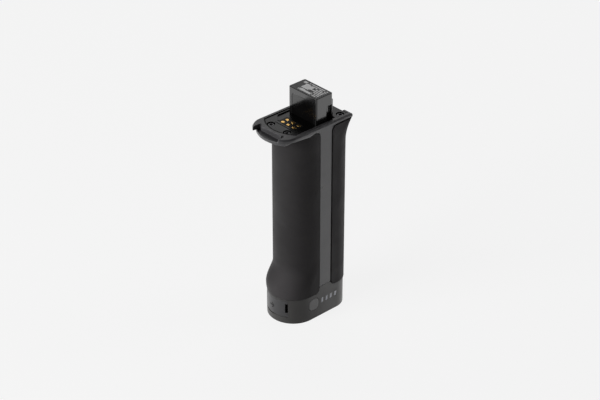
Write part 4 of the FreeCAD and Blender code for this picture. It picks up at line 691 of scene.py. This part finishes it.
# Interface plate. A black moulded plate screwed down inside the rim. It seals the tube and holds
# the head and the contact block; a shallow well in it keeps the contacts clear of the gimbal.
plate_plastic = moulded_plastic(
    "plate_plastic", (0.004, 0.004, 0.0042), 0.2, pit=0.00035, depth=0.000004, wear_and_highlight=0.4, specular=0.26
)
dress(plate_plastic, "interface_plate")
dress(black_plastic, "contact_holder")

# Seam shade. A near-black strip, 0.9 mm wide, laid on the seam in front of the interface plate as
# painted shade for the dark gap there. It follows an arc, and stands out of the seam by a half wave
# of 0.07 mm.
SEAM_SHADE_RADIUS = 23.28
SEAM_SHADE_CENTRE = -4.1
SEAM_SHADE_SPREAD = 43
SEAM_SHADE_HALF = 0.45
SEAM_SHADE_LEVEL = 148.89
SEAM_SHADE_PROUD = 0.07
along_seam_shade = np.radians(np.linspace(-SEAM_SHADE_SPREAD, SEAM_SHADE_SPREAD, 61))[:, None]
across_seam_shade = np.linspace(0, math.pi, 9)[None, :]
seam_shade_reach = SEAM_SHADE_RADIUS - SEAM_SHADE_HALF * np.cos(across_seam_shade)
seam_shade_level = SEAM_SHADE_LEVEL + SEAM_SHADE_PROUD * np.sin(across_seam_shade) + 0 * along_seam_shade
seam_shade_strip = [seam_shade_reach * np.sin(along_seam_shade), SEAM_SHADE_CENTRE - seam_shade_reach * np.cos(along_seam_shade), seam_shade_level]
# Painted shade: a near-black finish for the strip in the seam.
painted_seam_shade = moulded_plastic(
    "painted_seam_shade", (0.004, 0.004, 0.004), 0.6, pit=0.0002, wear_and_highlight=0.0, specular=0.15
)
seam_shade_piece = piece_from_grids("seam_shade_piece", [np.stack(seam_shade_strip, axis=-1)], painted_seam_shade, around=False)

# Contacts. Six pads stamped in copper alloy and plated with gold, a little crowned, in two rows of
# three; each stands on a pin down to the contact board.
PAD_HALF_WIDTH = 1.48
PAD_HALF_DEPTH = 1.18
PAD_CORNER = 0.7
PAD_COLUMN = 5.3
PAD_ROW = 4.1
FIRST_ROW = -14.3


def pad_grid(x, y):
    """A pad's outline is a superellipse; a profile of (scale, height) rows crowns its top."""
    turn = np.linspace(0, 2 * math.pi, 44, endpoint=False)
    across = PAD_HALF_WIDTH * np.sign(np.cos(turn)) * abs(np.cos(turn)) ** PAD_CORNER
    along = PAD_HALF_DEPTH * np.sign(np.sin(turn)) * abs(np.sin(turn)) ** PAD_CORNER
    profile = [(0.0, 147.15), (0.97, 147.15), (1.0, 147.2), (1.0, 147.66), (0.985, 147.73)]
    profile += [(0.94, 147.78), (0.85, 147.815), (0.65, 147.835), (0.35, 147.845), (0.0, 147.85)]
    scale, height = np.array(profile)[:, :1], np.array(profile)[:, 1:]
    return np.stack([x + scale * across, y + scale * along, height + 0 * turn], axis=-1)


gold_plating = metal("gold_plating", (0.90, 0.56, 0.17), 0.27, scratch=0.0003, depth=0.000002)
pad_places = [(PAD_COLUMN * column, FIRST_ROW + PAD_ROW * row) for column in (-1, 0, 1) for row in (0, 1)]
gold_pads = piece_from_grids("gold_pads", [pad_grid(x, y) for x, y in pad_places], gold_plating)
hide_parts("gold_contacts")

# Head. A hollow black block that enters the gimbal, with a latch slot in each side, a glossy window
# let into its front, and a label on top. The label's print is plain bars and rows of dashes.
head_plastic = moulded_plastic(
    "head_plastic",
    (0.007, 0.0068, 0.007),
    0.17,
    pit=0.00025,
    depth=0.000003,
    wear_and_highlight=0.9,
    specular=0.6,
    edge=0.0005,
)
dress(head_plastic, "head_shell")
panel_gloss = moulded_plastic(
    "panel_gloss", (0.004, 0.0038, 0.0038), 0.16, pit=0.0004, depth=0.000003, wear_and_highlight=0.1, specular=0.45
)
dress(panel_gloss, "head_front_panel")

# The print's oblongs, each as left, right, low and high in millimetres. Its rows are cut up twice, as
# if into words and into letters: by how fine the noise is, and how strong it has to be for ink.
PRINT_FIELD = (-6.8, 11.3, -0.3, 10.9)
PRINT_BARS = ((-7.0, 0.6, 3.2, 8.2), (-5.6, 4.6, -0.3, 1.7), (-10.6, -7.6, 8.4, 10.6))
PRINT_WINDOW = (-0.4, 4.2, 1.7, 4.2)
PRINT_CUTS = ((0.42, 0.40), (2.6, 0.33))
ROW_SHIFT = 0.4
ROW_SPREAD = 7.3


def within(tree, value, low, high):
    """1 where the value lies between two limits, and 0 elsewhere."""
    above, below = maths(tree, "GREATER_THAN", value, low), maths(tree, "LESS_THAN", value, high)
    return maths(tree, "MULTIPLY", above, below)


def oblong(tree, x, y, left, right, low, high):
    """1 inside an oblong, and 0 outside it."""
    return maths(tree, "MULTIPLY", within(tree, x, left, right), within(tree, y, low, high))


def print_group():
    """Generic print in millimetres: rows of dashes along X, cut up by noise along each row, then
    three plain bars, and a window between them that stays bare."""
    group, given, result = new_group(
        "label_print", {"Row Pitch": 1.7, "Row Height": 0.6}, {"Ink": "Float"}
    )
    place = put(group, "ShaderNodeTexCoord", {}).outputs["Object"]
    metres = put(group, "ShaderNodeSeparateXYZ", {0: place})
    x, y = (maths(group, "MULTIPLY", metres.outputs[axis], 1 / MM) for axis in ("X", "Y"))
    row = maths(group, "DIVIDE", maths(group, "ADD", y, ROW_SHIFT), given["Row Pitch"])
    stripe = maths(group, "LESS_THAN", maths(group, "FRACT", row), given["Row Height"])
    count = maths(group, "MULTIPLY", maths(group, "FLOOR", row), ROW_SPREAD)
    spot = put(group, "ShaderNodeCombineXYZ", {0: x, 1: count, 2: 0.0}).outputs[0]
    ink = stripe
    for fineness, least in PRINT_CUTS:
        dashes = maths(group, "GREATER_THAN", noise(group, spot, fineness, detail=0.0), least)
        ink = maths(group, "MULTIPLY", ink, dashes)
    ink = maths(group, "MULTIPLY", ink, oblong(group, x, y, *PRINT_FIELD))
    for bar in PRINT_BARS:
        ink = maths(group, "MAXIMUM", ink, oblong(group, x, y, *bar))
    outside = maths(group, "SUBTRACT", 1.0, oblong(group, x, y, *PRINT_WINDOW))
    return finish_group(group, result, Ink=maths(group, "MULTIPLY", ink, outside))


def printed_film(name):
    """Matte black film with white ink."""
    material, tree, shader = new_material(name)
    ink = use_group(tree, print_group())
    grain = use_group(tree, spark_grain, Pit_Size=0.0003)
    patch = ranged(tree, grain.outputs["Patch"], 0.3, 0.7)
    film = mixed(tree, patch, (0.030, 0.030, 0.031), (0.042, 0.042, 0.043))
    tone = mixed(tree, ink.outputs["Ink"], film, (0.94, 0.94, 0.94))
    tree.links.new(tone, shader.inputs["Base Color"])
    tree.links.new(ranged(tree, grain.outputs["Height"], 0.3, 0.7, 0.42, 0.52), shader.inputs["Roughness"])
    return material


dress(printed_film("printed_film"), "head_label")

# Floor, backdrop and lamps. A pale sweep that stays white to the camera and keeps the shadow; glossy
# faces see it bright, but darker straight ahead and straight behind. A strong soft lamp stands low at
# the front left, a weaker one behind and above, and a third at the right.
CAMERA_RIGHT = np.array([0.6728, 0.7398, 0.0])
CAMERA_BACK = np.array([0.6322, -0.5750, 0.5193])
CAMERA_UP = np.array([-0.3842, 0.3494, 0.8546])
LEVEL_BACK = np.array([0.7398, -0.6728, 0.0])
TARGET = np.array([-0.002031, -0.002233, 0.084487])
CAMERA_AWAY = 1.18811
WHITE = (1.0, 1.0, 1.0, 1.0)
SWEEP_HALF = 6.0
FACING = (0.74, -0.67, 0.0)
PLAIN_WHITE_SHARE = 0.85


def floor_material():
    """Pale sweep: to the camera mostly plain white, with a share of real shade for the shadow.

    Other rays meet a plain glow, stronger for glossy ones, and weaker before and behind the grip.
    """
    material, tree, shader = new_material("sweep_paper")
    shader.inputs["Base Color"].default_value = (0.86, 0.86, 0.86, 1.0)
    shader.inputs["Roughness"].default_value = 0.8
    shader.inputs["Specular IOR Level"].default_value = 0.0
    path = put(tree, "ShaderNodeLightPath", {}).outputs
    place = put(tree, "ShaderNodeNewGeometry", {}).outputs["Position"]
    way = put(tree, "ShaderNodeVectorMath", {0: place}, operation="NORMALIZE").outputs[0]
    both = {0: way, 1: FACING}
    ahead = put(tree, "ShaderNodeVectorMath", both, operation="DOT_PRODUCT").outputs["Value"]
    before = ranged(tree, ahead, 0.1, 0.95, 1.0, 0.5)
    behind = ranged(tree, ahead, -0.98, -0.55, 0.55, 1.0)
    bounce = ranged(tree, path["Is Glossy Ray"], 0.0, 1.0, 0.3, 1.7)
    bounce = maths(tree, "MULTIPLY", bounce, maths(tree, "MULTIPLY", before, behind))
    glow = put(tree, "ShaderNodeEmission", {"Color": WHITE, "Strength": bounce}).outputs[0]
    white = put(tree, "ShaderNodeEmission", {"Color": WHITE, "Strength": 1.0}).outputs[0]
    shares = {0: PLAIN_WHITE_SHARE, 1: shader.outputs[0], 2: white}
    seen = put(tree, "ShaderNodeMixShader", shares).outputs[0]
    result = put(tree, "ShaderNodeMixShader", {0: path["Is Camera Ray"], 1: glow, 2: seen}).outputs[0]
    tree.links.new(result, tree.nodes["Material Output"].inputs["Surface"])
    return material


floor_mesh = bpy.data.meshes.new("sweep")
sweep_corners = [(x * SWEEP_HALF, y * SWEEP_HALF, 0) for x, y in ((-1, -1), (1, -1), (1, 1), (-1, 1))]
floor_mesh.from_pydata(sweep_corners, [], [(0, 1, 2, 3)])
floor_mesh.materials.append(floor_material())
floor = bpy.data.objects.new("sweep", floor_mesh)
bpy.context.scene.collection.objects.link(floor)


def lamp(name, right, back, up, distance, width, height, watts):
    """A soft lamp that faces the grip from a mixture of the camera's right, its level back and up."""
    data = bpy.data.lights.new(name, "AREA")
    data.shape = "RECTANGLE"
    data.size, data.size_y = width, height
    data.energy = watts
    holder = bpy.data.objects.new(name, data)
    way = right * CAMERA_RIGHT + back * LEVEL_BACK + up * np.array([0.0, 0.0, 1.0])
    way /= np.linalg.norm(way)
    holder.location = TARGET + distance * way
    holder.rotation_euler = Vector(way).to_track_quat("Z", "Y").to_euler()
    bpy.context.scene.collection.objects.link(holder)


lamp("front_left", right=-0.9, back=0.55, up=0.22, distance=1.4, width=0.9, height=1.2, watts=20.0)
lamp("back", right=0.05, back=-1.0, up=0.6, distance=1.5, width=1.4, height=1.0, watts=4.2)
lamp("right_side", right=1.0, back=-0.2, up=0.15, distance=1.4, width=0.7, height=1.2, watts=5.0)

world = bpy.data.worlds.new("studio")
bpy.context.scene.world = world
world.use_nodes = True
tree = world.node_tree
tree.nodes.clear()
path = put(tree, "ShaderNodeLightPath", {}).outputs
seen = maths(tree, "MAXIMUM", path["Is Camera Ray"], path["Is Transmission Ray"])
room = put(tree, "ShaderNodeBackground", {"Color": WHITE, "Strength": 0.04}).outputs[0]
white = put(tree, "ShaderNodeBackground", {"Color": WHITE, "Strength": 1.0}).outputs[0]
both = put(tree, "ShaderNodeMixShader", {0: seen, 1: room, 2: white}).outputs[0]
put(tree, "ShaderNodeOutputWorld", {0: both})

camera_data = bpy.data.cameras.new("camera")
camera_data.sensor_width = 36.0
camera_data.lens = 105.63
camera_data.clip_end = 20.0
camera = bpy.data.objects.new("camera", camera_data)
bpy.context.scene.collection.objects.link(camera)
place = TARGET + CAMERA_AWAY * CAMERA_BACK
columns = np.stack([CAMERA_RIGHT, CAMERA_UP, CAMERA_BACK, place], axis=1)
camera.matrix_world = Matrix([*columns.tolist(), (0.0, 0.0, 0.0, 1.0)])
bpy.context.scene.camera = camera
bpy.context.scene.view_settings.view_transform = "Standard"
